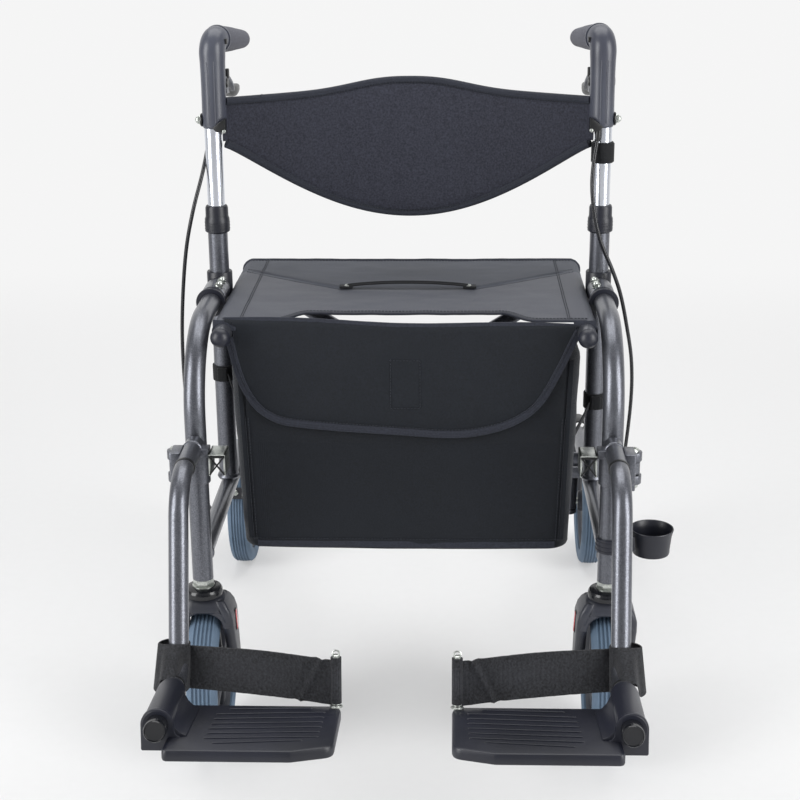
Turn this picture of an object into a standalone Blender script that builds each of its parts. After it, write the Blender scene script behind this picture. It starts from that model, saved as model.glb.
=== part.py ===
"""Four-wheel folding walker with a sling seat and swing-away foot plates.

Metres, +Z up, the floor at z = 0. The user walks behind it towards -Y, so the foot plates lie at -Y.
The right side (+X) is modelled and the left side is its mirror image, except where a piece is one-sided.
"""

import math

import bmesh
import bpy
from mathutils import Matrix, Vector

# Fits
GAP = 0.0003
STEP_DEG = 15.0

# From the axis between the side arms to the middle of the whole length
MIDDLE_SHIFT = 0.1475

# Side frame
FRAME_X = 0.247
LEG_Y = -0.300
LEG_R = 0.0127
LEG_BOTTOM_Z = 0.245
LEG_BEND_R = 0.100
ARM_Z = 0.550
UPRIGHT_Y = -0.056
UPRIGHT_RISE = 0.073
RAIL_R = 0.0111
RAIL_Z = 0.272
RAIL_BEND_R = 0.190
RAIL_END_DROP = 0.015

# Rear wheels
REAR_AXLE_Y = 0.309
REAR_WHEEL_R = 0.100
REAR_WHEEL_OUT = 0.0305
REAR_TYRE_HALF = 0.017
AXLE_R = 0.006

# Casters
CASTER_TRAIL = 0.035
FRONT_WHEEL_R = 0.100
FRONT_TYRE_HALF = 0.019
FORK_CLEAR = 0.003
FORK_LEG_T = 0.015
FORK_SIDE_CLEAR = 0.0045
CROWN_T = 0.019
BEARING_CAP_R = 0.0233
BEARING_CAP_T = 0.0125
STEM_R = 0.005
STEM_NUT_AF = 0.022

# Wheels
TYRE_WALL = 0.0215
HUB_R = 0.017
WEB_T = 0.008
RIM_BAND_T = 0.009
WHEEL_STEPS = 24

# Handles
HANDLE_TUBE_R = 0.0111
HANDLE_TUBE_BOTTOM_Z = 0.503
ELBOW_Z = 0.872
HOUSING_H = 0.114
HOUSING_BOTTOM_Z = ELBOW_Z - HOUSING_H
HOUSING_R = 0.0155
HOUSING_SOCKET = 0.042
ELBOW_BEND_R = 0.026
GRIP_REACH = 0.126
GRIP_DROP = 0.026
GRIP_TOE_IN = 0.0224
HOUSING_REACH = 0.034
GRIP_R = 0.0155
COLLAR_R = 0.016
COLLAR_H = 0.035
SADDLE_R = 0.0165
SADDLE_H = 0.036
SADDLE_SLEEVE = 0.086
LEVER_PIVOT_DY = 0.012
LEVER_DROP = 0.060
LEVER_PIVOT_Z = ELBOW_Z - LEVER_DROP
LEVER_CHEEK_T = 0.002
LEVER_LENGTH = 0.118
LEVER_W = 0.012
CANE_STRAP_LIFT = 0.054
CANE_STRAP_H = 0.026
CANE_STRAP_R = 0.014

# Seat, its rails and the cross brace under it
PIVOT_INSET = 0.0295
SEAT_RAIL_Z = 0.541
SEAT_RAIL_FRONT_Y = -0.266
SEAT_RAIL_REAR_Y = 0.070
BALL_CAP_R = 0.012
BRACE_R = 0.0095
BRACE_A_Y = 0.005
BRACE_SPACING = 0.030
BRACE_EYE_R = 0.011
BRACE_PIN_R = 0.004
LUG_T = 0.004
SEAT_FRONT_Y = -0.242
SEAT_REAR_Y = 0.072
SEAT_SIDE_CLEAR = 0.0088
SEAT_T = 0.004
STRAP_HALF_L = 0.078
STRAP_Y = -0.077
STRAP_W = 0.010
STRAP_RISE = 0.012
BAG_FRONT_Y = -0.240
BAG_REAR_Y = -0.040
BAG_TOP_Z = 0.545
BAG_BOTTOM_Z = 0.256
BAG_HALF_W = 0.2150
BAG_BOTTOM_HALF_W = 0.2035
BAG_CORNER_R = 0.030
BAG_WALL = 0.004

# Backrest band
BACK_END_CLEAR = 0.0166
BACK_END_Z = (0.732, 0.795)
BACK_MID_Z = (0.622, 0.809)
BACK_BOW = 0.106
BACK_END_T = 0.006
BACK_MID_T = 0.018

# Swing-away foot rests
SWING_OUT = 0.025
BRACKET_RING_R = 0.0152
BRACKET_Z = (0.372, 0.412)
EAR_T = 0.0115
EAR_R = 0.0105
KNUCKLE_R = 0.0085
SWING_PIN_R = 0.004
HANGER_R = 0.0111
HANGER_IN = 0.0015
HANGER_TOP_Z = 0.424
HANGER_BEND_R = 0.060
HANGER_LEAN_DEG = 20.9
HANGER_TOP_CORNER = 0.136
FOOT_CORNER_Z = 0.225
FOOT_BEND_R = 0.035
FOOT_TUBE_L = 0.176
FOOT_RISE_DEG = 10.0
PLATE_SPAN = (0.0145, 0.1865)
PLATE_RUN = (0.059, 0.191)
PLATE_DROP = 0.012
PLATE_T = 0.011
TREAD_SPAN = (0.0240, 0.1600)
TREAD_RUN = (0.0780, 0.1740)
TREAD_H = 0.0008
PLATE_HUB_R = 0.014
PLATE_HUB_RUN = (0.0387, 0.1656)
PLATE_CHAMFER = (0.042, 0.015)
PLATE_CORNER_R = 0.018
HEEL_PIN_IN = 0.008
HEEL_PIN_BACK = 0.005
HEEL_PIN_R = 0.004
HEEL_PIN_H = 0.063
HEEL_STRAP_W = 0.050
HEEL_STRAP_T = 0.003
HEEL_STRAP_LIFT = 0.005
CATCH_SIZE = (0.020, 0.034, 0.026)
CATCH_OUT = 0.0215

# Rear brakes
SHOE_SIZE = (0.019, 0.017, 0.019)
SHOE_CLEAR = 0.004
SHOE_ANGLE_DEG = 153.4
BRAKE_PIVOT_Y = 0.185
BRAKE_PIVOT_Z = 0.215
BRAKE_PIN_R = 0.003
BRAKE_PLATE_T = 0.003

# Cane holder on the right front leg
CUP_OUT = 0.055
CUP_BACK = 0.030
CUP_BOTTOM_Z = 0.268
CUP_H = 0.033
CUP_R = 0.0265
CUP_WALL = 0.0025
CUP_BAND_H = 0.018
CUP_WEB_HALF_T = 0.004

# Brake cables, from the handle to the brake, with route points chosen by hand
CABLE_R = 0.0025
CABLE_PITCH = 0.0150
CABLE_TOP_GAP = 0.0003
CABLE_TOP_Z = HOUSING_BOTTOM_Z - CABLE_TOP_GAP
LEFT_CABLE_ROUTE = (
    (-0.2572, -0.0660, CABLE_TOP_Z),
    (-0.2580, -0.0672, CABLE_TOP_Z - 0.0177),
    (-0.2625, -0.0720, 0.7000),
    (-0.2750, -0.0750, 0.6530),
    (-0.2870, -0.0720, 0.6000),
    (-0.2970, -0.0600, 0.5290),
    (-0.3050, -0.0340, 0.4600),
    (-0.3110, 0.0040, 0.3800),
    (-0.3120, 0.0450, 0.2800),
    (-0.3060, 0.0900, 0.1900),
    (-0.2960, 0.1220, 0.1560),
    (-0.2820, 0.1420, 0.1640),
    (-0.2700, 0.1560, 0.1960),
    (-0.2620, 0.1670, 0.2120),
    (-0.2600, 0.1754, 0.2134),
)
RIGHT_CABLE_ROUTE = (
    (0.2400, -0.0682, CABLE_TOP_Z),
    (0.2388, -0.0710, CABLE_TOP_Z - 0.0137),
    (0.2345, -0.0760, 0.7150),
    (0.2330, -0.0810, 0.6850),
    (0.2370, -0.0840, 0.6500),
    (0.2460, -0.0850, 0.6150),
    (0.2620, -0.0820, 0.5780),
    (0.2740, -0.0760, 0.5450),
    (0.2850, -0.0620, 0.5000),
    (0.2970, -0.0320, 0.4400),
    (0.3020, 0.0000, 0.3700),
    (0.3000, 0.0420, 0.2700),
    (0.2950, 0.0850, 0.1900),
    (0.2870, 0.1200, 0.1580),
    (0.2780, 0.1400, 0.1640),
    (0.2690, 0.1560, 0.1960),
    (0.2620, 0.1670, 0.2120),
    (0.2600, 0.1754, 0.2134),
)

# Colour, roughness and metallic value of each finish
FINISHES = {
    "grey_frame_paint": ("#8f8e9c", 0.35, 0.8),
    "bright_tube": ("#c9cdd8", 0.22, 1.0),
    "zinc_hardware": ("#a9adab", 0.35, 1.0),
    "charcoal_plastic": ("#33343a", 0.5, 0.0),
    "grip_rubber": ("#2c2d31", 0.7, 0.0),
    "tyre_grey": ("#6f8498", 0.75, 0.0),
    "wheel_plastic": ("#4a4c53", 0.45, 0.0),
    "seat_fabric": ("#282b31", 0.85, 0.0),
    "bag_fabric": ("#24272d", 0.9, 0.0),
    "webbing": ("#26282c", 0.85, 0.0),
    "cable_jacket": ("#1c1d20", 0.5, 0.0),
    "brake_block": ("#3a3b40", 0.8, 0.0),
}

AXES = {"X": Vector((1, 0, 0)), "Y": Vector((0, 1, 0)), "Z": Vector((0, 0, 1))}
MIRROR_X = Matrix.Scale(-1, 4, (1, 0, 0))


def clear_scene():
    for obj in list(bpy.data.objects):
        bpy.data.objects.remove(obj)


def linear(channel):
    return channel / 12.92 if channel <= 0.04045 else ((channel + 0.055) / 1.055) ** 2.4


def finish_material(finish):
    """The shared material of one finish, made the first time that it is asked for."""
    known = bpy.data.materials.get(finish)
    if known:
        return known
    colour, roughness, metallic = FINISHES[finish]
    rgb = [linear(int(colour[i : i + 2], 16) / 255) for i in (1, 3, 5)]
    material = bpy.data.materials.new(finish)
    material.use_nodes = True
    shader = material.node_tree.nodes["Principled BSDF"]
    shader.inputs["Base Color"].default_value = (*rgb, 1)
    shader.inputs["Roughness"].default_value = roughness
    shader.inputs["Metallic"].default_value = metallic
    return material


def as_object(name, shape, finish, origin=(0, 0, 0)):
    """Names a shape modelled in world metres, with the object's origin at the given point."""
    origin = Vector(origin)
    bmesh.ops.translate(shape, vec=-origin, verts=shape.verts)
    bmesh.ops.recalc_face_normals(shape, faces=shape.faces)
    mesh = bpy.data.meshes.new(name)
    shape.to_mesh(mesh)
    shape.free()
    mesh.shade_smooth()
    mesh.set_sharp_from_angle(angle=math.radians(35))
    mesh.materials.append(finish_material(finish))
    obj = bpy.data.objects.new(name, mesh)
    obj.location = origin
    bpy.context.scene.collection.objects.link(obj)
    return obj


def both_sides(name, shape, finish, origin=(0, 0, 0)):
    """The right piece, and a left one that mirrors it and shares its mesh."""
    right = as_object("right_" + name, shape, finish, origin)
    left = bpy.data.objects.new("left_" + name, right.data)
    left.location = (-right.location.x, right.location.y, right.location.z)
    left.scale = (-1, 1, 1)
    bpy.context.scene.collection.objects.link(left)


def frame_along(axis):
    """Turns local +Z towards the axis, keeping local X level where it can be."""
    return Vector(axis).normalized().to_track_quat("Z", "Y").to_matrix().to_4x4()


def turned(profile, centre, axis="Z", steps=20):
    """A profile of (radius, height) points spun round an axis through the centre."""
    shape = bmesh.new()
    points = [shape.verts.new((radius, 0, height)) for radius, height in profile]
    closed = profile[0][0] > 0
    pairs = list(zip(points, points[1:] + points[:1])) if closed else list(zip(points, points[1:]))
    edges = [shape.edges.new(pair) for pair in pairs]
    bmesh.ops.spin(
        shape, geom=points + edges, cent=(0, 0, 0), axis=(0, 0, 1), angle=math.tau, steps=steps
    )
    bmesh.ops.remove_doubles(shape, verts=shape.verts, dist=1e-6)
    direction = AXES[axis] if isinstance(axis, str) else axis
    bmesh.ops.transform(
        shape, matrix=Matrix.Translation(centre) @ frame_along(direction), verts=shape.verts
    )
    bmesh.ops.recalc_face_normals(shape, faces=shape.faces)
    return shape


def rod(radius, centre, axis, low, high, steps=20):
    """A solid cylinder round an axis, between two heights counted from the centre."""
    return turned([(0, low), (radius, low), (radius, high), (0, high)], centre, axis, steps)


def sleeve(inner, outer, centre, axis, low, high, steps=20):
    """A straight ring with square ends."""
    return turned([(inner, low), (outer, low), (outer, high), (inner, high)], centre, axis, steps)


def prism(outline, axis, low, high):
    """An outline in the two other axes, in X, Y, Z order, extruded along the axis."""
    other = [i for i in range(3) if i != "XYZ".index(axis)]
    shape = bmesh.new()
    corners = []
    for pair in outline:
        place = Vector((0, 0, 0))
        place["XYZ".index(axis)] = low
        place[other[0]], place[other[1]] = pair
        corners.append(shape.verts.new(place))
    face = shape.faces.new(corners)
    made = bmesh.ops.extrude_face_region(shape, geom=[face])
    moved = [item for item in made["geom"] if isinstance(item, bmesh.types.BMVert)]
    bmesh.ops.translate(shape, vec=AXES[axis] * (high - low), verts=moved)
    bmesh.ops.recalc_face_normals(shape, faces=shape.faces)
    return shape


def block(x, y, z):
    """A box between two places on each axis."""
    return prism([(y[0], z[0]), (y[1], z[0]), (y[1], z[1]), (y[0], z[1])], "X", *x)


def arc(centre, radius, start_deg, end_deg, steps):
    """Points of a plane arc, both ends included."""
    turn = (end_deg - start_deg) / steps
    angles = [math.radians(start_deg + turn * i) for i in range(steps + 1)]
    return [(centre[0] + radius * math.cos(a), centre[1] + radius * math.sin(a)) for a in angles]


def rounded(corners, radius):
    """A path through the corners with each inner one turned into an arc; radius may be a list."""
    corners = [Vector(corner) for corner in corners]
    radii = radius if isinstance(radius, (list, tuple)) else [radius] * (len(corners) - 2)
    path = [corners[0]]
    for before, corner, after, bend in zip(corners, corners[1:], corners[2:], radii):
        entry = (before - corner).normalized()
        leave = (after - corner).normalized()
        inside = entry.angle(leave)
        turn = math.pi - inside
        centre = corner + (entry + leave).normalized() * bend / math.sin(inside / 2)
        first = corner + entry * bend * math.tan(turn / 2) - centre
        axis = entry.cross(leave).normalized()
        steps = max(2, round(math.degrees(turn) / STEP_DEG))
        for i in range(steps + 1):
            path.append(centre + Matrix.Rotation(-turn * i / steps, 3, axis) @ first)
    path.append(corners[-1])
    return path


def tube(path, radius, sides=16):
    """A round bar along a path, with flat ends."""
    path = [Vector(point) for point in path]
    shape = bmesh.new()
    across = (path[1] - path[0]).orthogonal().normalized()
    rings = []
    for i, point in enumerate(path):
        ahead = (path[min(i + 1, len(path) - 1)] - point).normalized()
        behind = (point - path[max(i - 1, 0)]).normalized()
        along = (ahead + behind).normalized()
        across = (across - along * across.dot(along)).normalized()
        up = along.cross(across)
        angles = [math.tau * k / sides for k in range(sides)]
        ring = [point + radius * (across * math.cos(a) + up * math.sin(a)) for a in angles]
        rings.append([shape.verts.new(place) for place in ring])
    shape.faces.new(rings[0])
    shape.faces.new(rings[-1])
    for low, high in zip(rings, rings[1:]):
        for k in range(sides):
            n = (k + 1) % sides
            shape.faces.new((low[k], low[n], high[n], high[k]))
    bmesh.ops.recalc_face_normals(shape, faces=shape.faces)
    return shape


def loft(sections):
    """A closed solid through point rings of equal count, with its first and last ring filled."""
    shape = bmesh.new()
    rings = [[shape.verts.new(point) for point in section] for section in sections]
    shape.faces.new(rings[0])
    shape.faces.new(rings[-1])
    for low, high in zip(rings, rings[1:]):
        for k in range(len(low)):
            n = (k + 1) % len(low)
            shape.faces.new((low[k], low[n], high[n], high[k]))
    bmesh.ops.recalc_face_normals(shape, faces=shape.faces)
    return shape


def scratch_object(name, shape):
    mesh = bpy.data.meshes.new(name)
    shape.to_mesh(mesh)
    shape.free()
    obj = bpy.data.objects.new(name, mesh)
    obj.hide_render = True
    obj.display_type = "WIRE"
    bpy.context.scene.collection.objects.link(obj)
    return obj


def shaped(base, add=(), cut=()):
    """The base with some shapes joined on and others cut away, all with exact Booleans."""
    body = scratch_object("body", base)
    tools = []
    for operation, shapes in (("UNION", add), ("DIFFERENCE", cut)):
        for shape in shapes:
            tool = scratch_object("tool", shape)
            step = body.modifiers.new(operation.lower(), "BOOLEAN")
            step.operation = operation
            step.solver = "EXACT"
            step.object = tool
            tools.append(tool)
    mesh = bpy.data.meshes.new_from_object(
        body.evaluated_get(bpy.context.evaluated_depsgraph_get())
    )
    for obj in [body, *tools]:
        bpy.data.objects.remove(obj)
    result = bmesh.new()
    result.from_mesh(mesh)
    bpy.data.meshes.remove(mesh)
    bmesh.ops.remove_doubles(result, verts=result.verts, dist=2e-6)
    bmesh.ops.dissolve_limit(
        result, angle_limit=math.radians(0.5), verts=result.verts, edges=result.edges
    )
    return result


# Places that several pieces share
UPRIGHT_TOP_Z = ARM_Z + UPRIGHT_RISE
SEAT_HALF_W = FRAME_X - LEG_R - SEAT_SIDE_CLEAR
RAIL_TOP_Z = RAIL_Z + RAIL_R
REAR_WHEEL_X = FRAME_X + REAR_WHEEL_OUT
SEAT_RAIL_X = FRAME_X - PIVOT_INSET
BRACE_B_Y = BRACE_A_Y + BRACE_SPACING
WHEEL_Y = LEG_Y + CASTER_TRAIL
CROWN_BOTTOM_Z = 2 * FRONT_WHEEL_R + FORK_CLEAR
CROWN_TOP_Z = CROWN_BOTTOM_Z + CROWN_T
HANGER_X = FRAME_X - HANGER_IN
SWING_X = FRAME_X + SWING_OUT
COLLAR_TOP_Z = UPRIGHT_TOP_Z + COLLAR_H
CANE_STRAP_Z = COLLAR_TOP_Z + CANE_STRAP_LIFT
ELBOW = Vector((FRAME_X, UPRIGHT_Y, ELBOW_Z))
GRIP_END = ELBOW + Vector((-GRIP_TOE_IN, GRIP_REACH, -GRIP_DROP))
GRIP_DIRECTION = (GRIP_END - ELBOW).normalized()
LEVER_PIVOT_Y = UPRIGHT_Y + LEVER_PIVOT_DY
FOOT_CORNER_Y = (
    LEG_Y
    - HANGER_TOP_CORNER
    - (HANGER_TOP_Z - FOOT_CORNER_Z) * math.tan(math.radians(HANGER_LEAN_DEG))
)
FOOT_CORNER = Vector((HANGER_X, FOOT_CORNER_Y, FOOT_CORNER_Z))
FOOT_ALONG = Vector(
    (0, -math.cos(math.radians(FOOT_RISE_DEG)), math.sin(math.radians(FOOT_RISE_DEG)))
)
FOOT_UP = Vector((0, math.sin(math.radians(FOOT_RISE_DEG)), math.cos(math.radians(FOOT_RISE_DEG))))
# Columns: inboard on the right side, forward along the foot tube, and up off the plate.
FOOT_FRAME = Matrix.Translation(FOOT_CORNER) @ Matrix((
    (-1, FOOT_ALONG.x, FOOT_UP.x, 0),
    (0, FOOT_ALONG.y, FOOT_UP.y, 0),
    (0, FOOT_ALONG.z, FOOT_UP.z, 0),
    (0, 0, 0, 1),
))


def add_front_leg():
    foot = (FRAME_X, LEG_Y, LEG_BOTTOM_Z)
    top = (FRAME_X, LEG_Y, ARM_Z)
    rear = (FRAME_X, UPRIGHT_Y - LEG_R - GAP, ARM_Z)
    path = rounded([foot, top, rear], LEG_BEND_R)
    both_sides("front_leg", tube(path, LEG_R), "grey_frame_paint")


def add_upright():
    ends = (RAIL_TOP_Z + GAP, UPRIGHT_TOP_Z - GAP)
    wall = sleeve(HANDLE_TUBE_R + GAP, LEG_R, (FRAME_X, UPRIGHT_Y, 0), "Z", *ends)
    both_sides("upright", wall, "grey_frame_paint")


def add_lower_rail():
    """The bottom side rail with its rear sweep, the welded brace lug and the fixed rear axle."""
    front = (FRAME_X, LEG_Y + LEG_R + GAP, RAIL_Z)
    bend = (FRAME_X, REAR_AXLE_Y, RAIL_Z)
    end = (FRAME_X, REAR_AXLE_Y, REAR_WHEEL_R - RAIL_END_DROP)
    axle_centre = (0, REAR_AXLE_Y, REAR_WHEEL_R)
    wheel_outer = REAR_WHEEL_X + REAR_TYRE_HALF + 0.001
    axle = turned(
        [
            (0, FRAME_X),
            (AXLE_R, FRAME_X),
            (AXLE_R, wheel_outer),
            (AXLE_R + 0.003, wheel_outer),
            (AXLE_R + 0.003, wheel_outer + 0.004),
            (0, wheel_outer + 0.005),
        ],
        axle_centre,
        "X",
        16,
    )
    inner_head = rod(AXLE_R + 0.002, axle_centre, "X", FRAME_X - RAIL_R - 0.004, FRAME_X, 12)
    lug_reach = SEAT_RAIL_X - 2.2 * BRACE_PIN_R
    lug_z = (RAIL_Z - 0.008, RAIL_Z + 0.008)
    lug_gap = BRACE_EYE_R * 0.5 + LUG_T + 0.002
    lug_front = (BRACE_A_Y - lug_gap - LUG_T, BRACE_A_Y - lug_gap)
    lug_rear = (BRACE_B_Y + lug_gap, BRACE_B_Y + lug_gap + LUG_T)
    pin_ends = (lug_front[0] + 0.001, lug_rear[1] - 0.001)
    pin = rod(BRACE_PIN_R, (SEAT_RAIL_X, 0, RAIL_Z), "Y", *pin_ends, 12)
    shape = shaped(
        tube(rounded([front, bend, end], RAIL_BEND_R), RAIL_R),
        add=[
            axle,
            inner_head,
            block((lug_reach, FRAME_X), lug_front, lug_z),
            block((lug_reach, FRAME_X), lug_rear, lug_z),
            pin,
        ],
    )
    both_sides("lower_rail", shape, "grey_frame_paint")


def add_collar():
    low, high = UPRIGHT_TOP_Z, COLLAR_TOP_Z
    bore = HANDLE_TUBE_R + GAP
    profile = [
        (bore, low),
        (COLLAR_R, low),
        (COLLAR_R, low + 0.55 * COLLAR_H),
        (COLLAR_R - 0.0015, low + 0.60 * COLLAR_H),
        (COLLAR_R - 0.0015, high - 0.002),
        (COLLAR_R - 0.0030, high),
        (bore, high),
    ]
    both_sides("collar", turned(profile, (FRAME_X, UPRIGHT_Y, 0)), "charcoal_plastic")


def add_saddle_clamp():
    """The moulded tee that holds the arm of the front leg against the upright."""
    centre = (FRAME_X, 0, ARM_Z)
    front_y = UPRIGHT_Y - SADDLE_SLEEVE
    arm = turned(
        [
            (0, front_y),
            (SADDLE_R + 0.0020, front_y),
            (SADDLE_R + 0.0020, front_y + 0.005),
            (SADDLE_R - 2 * GAP, front_y + 0.012),
            (SADDLE_R - 2 * GAP, UPRIGHT_Y),
            (0, UPRIGHT_Y),
        ],
        centre,
        "Y",
        20,
    )
    low, high = ARM_Z + 0.003 - SADDLE_H / 2, ARM_Z + 0.003 + SADDLE_H / 2
    shape = shaped(
        arm,
        add=[rod(SADDLE_R, (FRAME_X, UPRIGHT_Y, 0), "Z", low, high, 20)],
        cut=[
            rod(LEG_R + GAP, (FRAME_X, UPRIGHT_Y, 0), "Z", low - 0.01, high + 0.01, 20),
            rod(LEG_R + 2 * GAP, centre, "Y", front_y - 0.01, UPRIGHT_Y + 0.002, 22),
        ],
    )
    both_sides("saddle_clamp", shape, "charcoal_plastic")


def add_pivot_bracket():
    low, high = BRACKET_Z
    ear = (LEG_Y - EAR_R, LEG_Y + EAR_R)
    pieces = []
    for bottom, top in ((low, low + EAR_T), (high - EAR_T, high)):
        pieces.append(block((FRAME_X, SWING_X), ear, (bottom, top)))
        pieces.append(rod(EAR_R, (SWING_X, LEG_Y, 0), "Z", bottom - 0.0004, top + 0.0004, 16))
    pieces.append(rod(SWING_PIN_R, (SWING_X, LEG_Y, 0), "Z", low + 0.001, high - 0.001, 12))
    leg = (FRAME_X, LEG_Y, 0)
    shape = shaped(
        rod(BRACKET_RING_R, leg, "Z", low - 0.0015, high + 0.0015, 20),
        add=pieces,
        cut=[rod(LEG_R + GAP, leg, "Z", low - 0.01, high + 0.01, 20)],
    )
    both_sides("pivot_bracket", shape, "grey_frame_paint")


def add_hanger():
    """The foot rest's bent tube, with the knuckle that turns on the bracket's pin."""
    stub_y = LEG_Y - LEG_R - 0.0035
    path = rounded(
        [
            (HANGER_X, stub_y, HANGER_TOP_Z),
            (HANGER_X, LEG_Y - HANGER_TOP_CORNER, HANGER_TOP_Z),
            FOOT_CORNER,
            FOOT_CORNER + FOOT_ALONG * FOOT_TUBE_L,
        ],
        [HANGER_BEND_R, FOOT_BEND_R],
    )
    low, high = BRACKET_Z[0] + EAR_T + 0.0009, BRACKET_Z[1] - EAR_T - 0.0009
    swing = (SWING_X, LEG_Y, 0)
    inner = SWING_X - KNUCKLE_R + 0.0005
    web = block((inner, inner + 0.004), (LEG_Y - 0.065, LEG_Y), (low + 0.0003, high - 0.0003))
    side = block(
        (HANGER_X + HANGER_R - 0.0015, inner + 0.004),
        (LEG_Y - 0.0655, LEG_Y - 0.035),
        (low + 0.002, HANGER_TOP_Z + 0.007),
    )
    catch_tab = block(
        (FRAME_X - CATCH_OUT, HANGER_X - 0.006),
        (LEG_Y - 0.045, LEG_Y - 0.025),
        (HANGER_TOP_Z - 0.006, HANGER_TOP_Z + 0.004),
    )
    shape = shaped(
        tube(path, HANGER_R),
        add=[rod(KNUCKLE_R, swing, "Z", low, high, 16), web, side, catch_tab],
        cut=[rod(SWING_PIN_R + GAP, swing, "Z", low - 0.01, high + 0.01, 12)],
    )
    both_sides("hanger", shape, "grey_frame_paint", swing)


def add_hanger_catch():
    """The spring catch that locks the hanger straight ahead, a small channel on the hanger tab."""
    width, length, height = CATCH_SIZE
    outer = FRAME_X - CATCH_OUT - GAP
    rear = LEG_Y - 0.018
    top = HANGER_TOP_Z
    wall = 0.0025
    shape = shaped(
        block((outer - width, outer), (rear - length, rear), (top - height, top)),
        cut=[
            block(
                (outer - width + wall, outer - wall),
                (rear - length - 0.01, rear + 0.01),
                (top - height - 0.01, top - wall),
            )
        ],
    )
    both_sides("hanger_catch", shape, "zinc_hardware", (outer, rear, top))


def plate_outline():
    """The foot plate seen from above, as (inboard, forward) points."""
    (root, tip), (heel, toe) = PLATE_SPAN, PLATE_RUN
    cut_in, cut_back = PLATE_CHAMFER
    corner = arc((tip - PLATE_CORNER_R, heel + PLATE_CORNER_R), PLATE_CORNER_R, -90, 0, 4)
    return [
        (root, heel),
        *corner,
        (tip - 0.002, toe - cut_back),
        (tip - cut_in, toe),
        (root, toe),
    ]


def tread_outline():
    """The raised middle of the foot plate, on which the shoe stands, clear of the pin and the sleeve."""
    (root, tip), (heel, toe) = TREAD_SPAN, TREAD_RUN
    cut_in, cut_back = (0.5 * size for size in PLATE_CHAMFER)
    return [(root, heel), (tip, heel), (tip, toe - cut_back), (tip - cut_in, toe), (root, toe)]


def add_foot_plate():
    """The plate and the sleeve on which it turns about the foot tube."""
    low = -PLATE_DROP - PLATE_T
    heel, toe = PLATE_HUB_RUN
    neck = block((-0.003, PLATE_SPAN[0] + 0.006), (heel + 0.001, toe - 0.001), (low + 0.001, -0.004))
    tread = prism(tread_outline(), "Z", -PLATE_DROP - TREAD_H, -PLATE_DROP + TREAD_H)
    shape = shaped(
        prism(plate_outline(), "Z", low, -PLATE_DROP),
        add=[neck, rod(PLATE_HUB_R, (0, 0, 0), "Y", heel, toe, 20), tread],
        cut=[rod(HANGER_R + GAP, (0, 0, 0), "Y", heel - 0.05, toe + 0.05, 20)],
    )
    bmesh.ops.transform(shape, matrix=FOOT_FRAME, verts=shape.verts)
    both_sides("foot_plate", shape, "charcoal_plastic", FOOT_CORNER)


def heel_pin_place():
    return (PLATE_SPAN[1] - HEEL_PIN_IN, PLATE_RUN[0] + HEEL_PIN_BACK)


def add_heel_pin():
    inboard, forward = heel_pin_place()
    base = GAP - PLATE_DROP
    top = base + HEEL_PIN_H
    profile = [
        (0, base),
        (HEEL_PIN_R + 0.002, base),
        (HEEL_PIN_R + 0.002, base + 0.002),
        (HEEL_PIN_R, base + 0.0025),
        (HEEL_PIN_R, top - 0.005),
        (HEEL_PIN_R + 0.003, top - 0.004),
        (HEEL_PIN_R + 0.003, top - 0.001),
        (0, top),
    ]
    shape = turned(profile, (inboard, forward, 0), "Z", 16)
    bmesh.ops.transform(shape, matrix=FOOT_FRAME, verts=shape.verts)
    both_sides("heel_pin", shape, "zinc_hardware", FOOT_FRAME @ Vector((inboard, forward, 0)))


def add_heel_strap():
    """The webbing behind the heel, from the hanger to the pin on the plate."""
    lean = math.tan(math.radians(HANGER_LEAN_DEG))
    inboard, forward = heel_pin_place()
    pin = FOOT_FRAME @ Vector((inboard - HEEL_PIN_R - 2 * GAP, forward, 0))
    outer_x = HANGER_X - HANGER_R - 0.0006
    bottom = FOOT_CORNER_Z - 0.009
    up_hanger = Vector((0, lean, 1)).normalized() * HEEL_STRAP_W
    start = Vector((outer_x, FOOT_CORNER_Y + lean * (bottom - FOOT_CORNER_Z) + 0.006, bottom))
    end = Vector((pin.x, pin.y, 0)) + Vector((0, 0, pin.z + HEEL_STRAP_LIFT - PLATE_DROP))
    up_pin = FOOT_UP * HEEL_STRAP_W
    stations = 8
    sections = []
    for i in range(stations + 1):
        share = i / stations
        low = start.lerp(end, share)
        rise = up_hanger.lerp(up_pin, share)
        bow = Vector((0, 0.010 * math.sin(math.pi * share), 0))
        back = Vector((0, HEEL_STRAP_T / 2, 0))
        base = low + bow
        sections.append([base - back, base + back, base + rise + back, base + rise - back])
    both_sides("heel_strap", loft(sections), "webbing")


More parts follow.
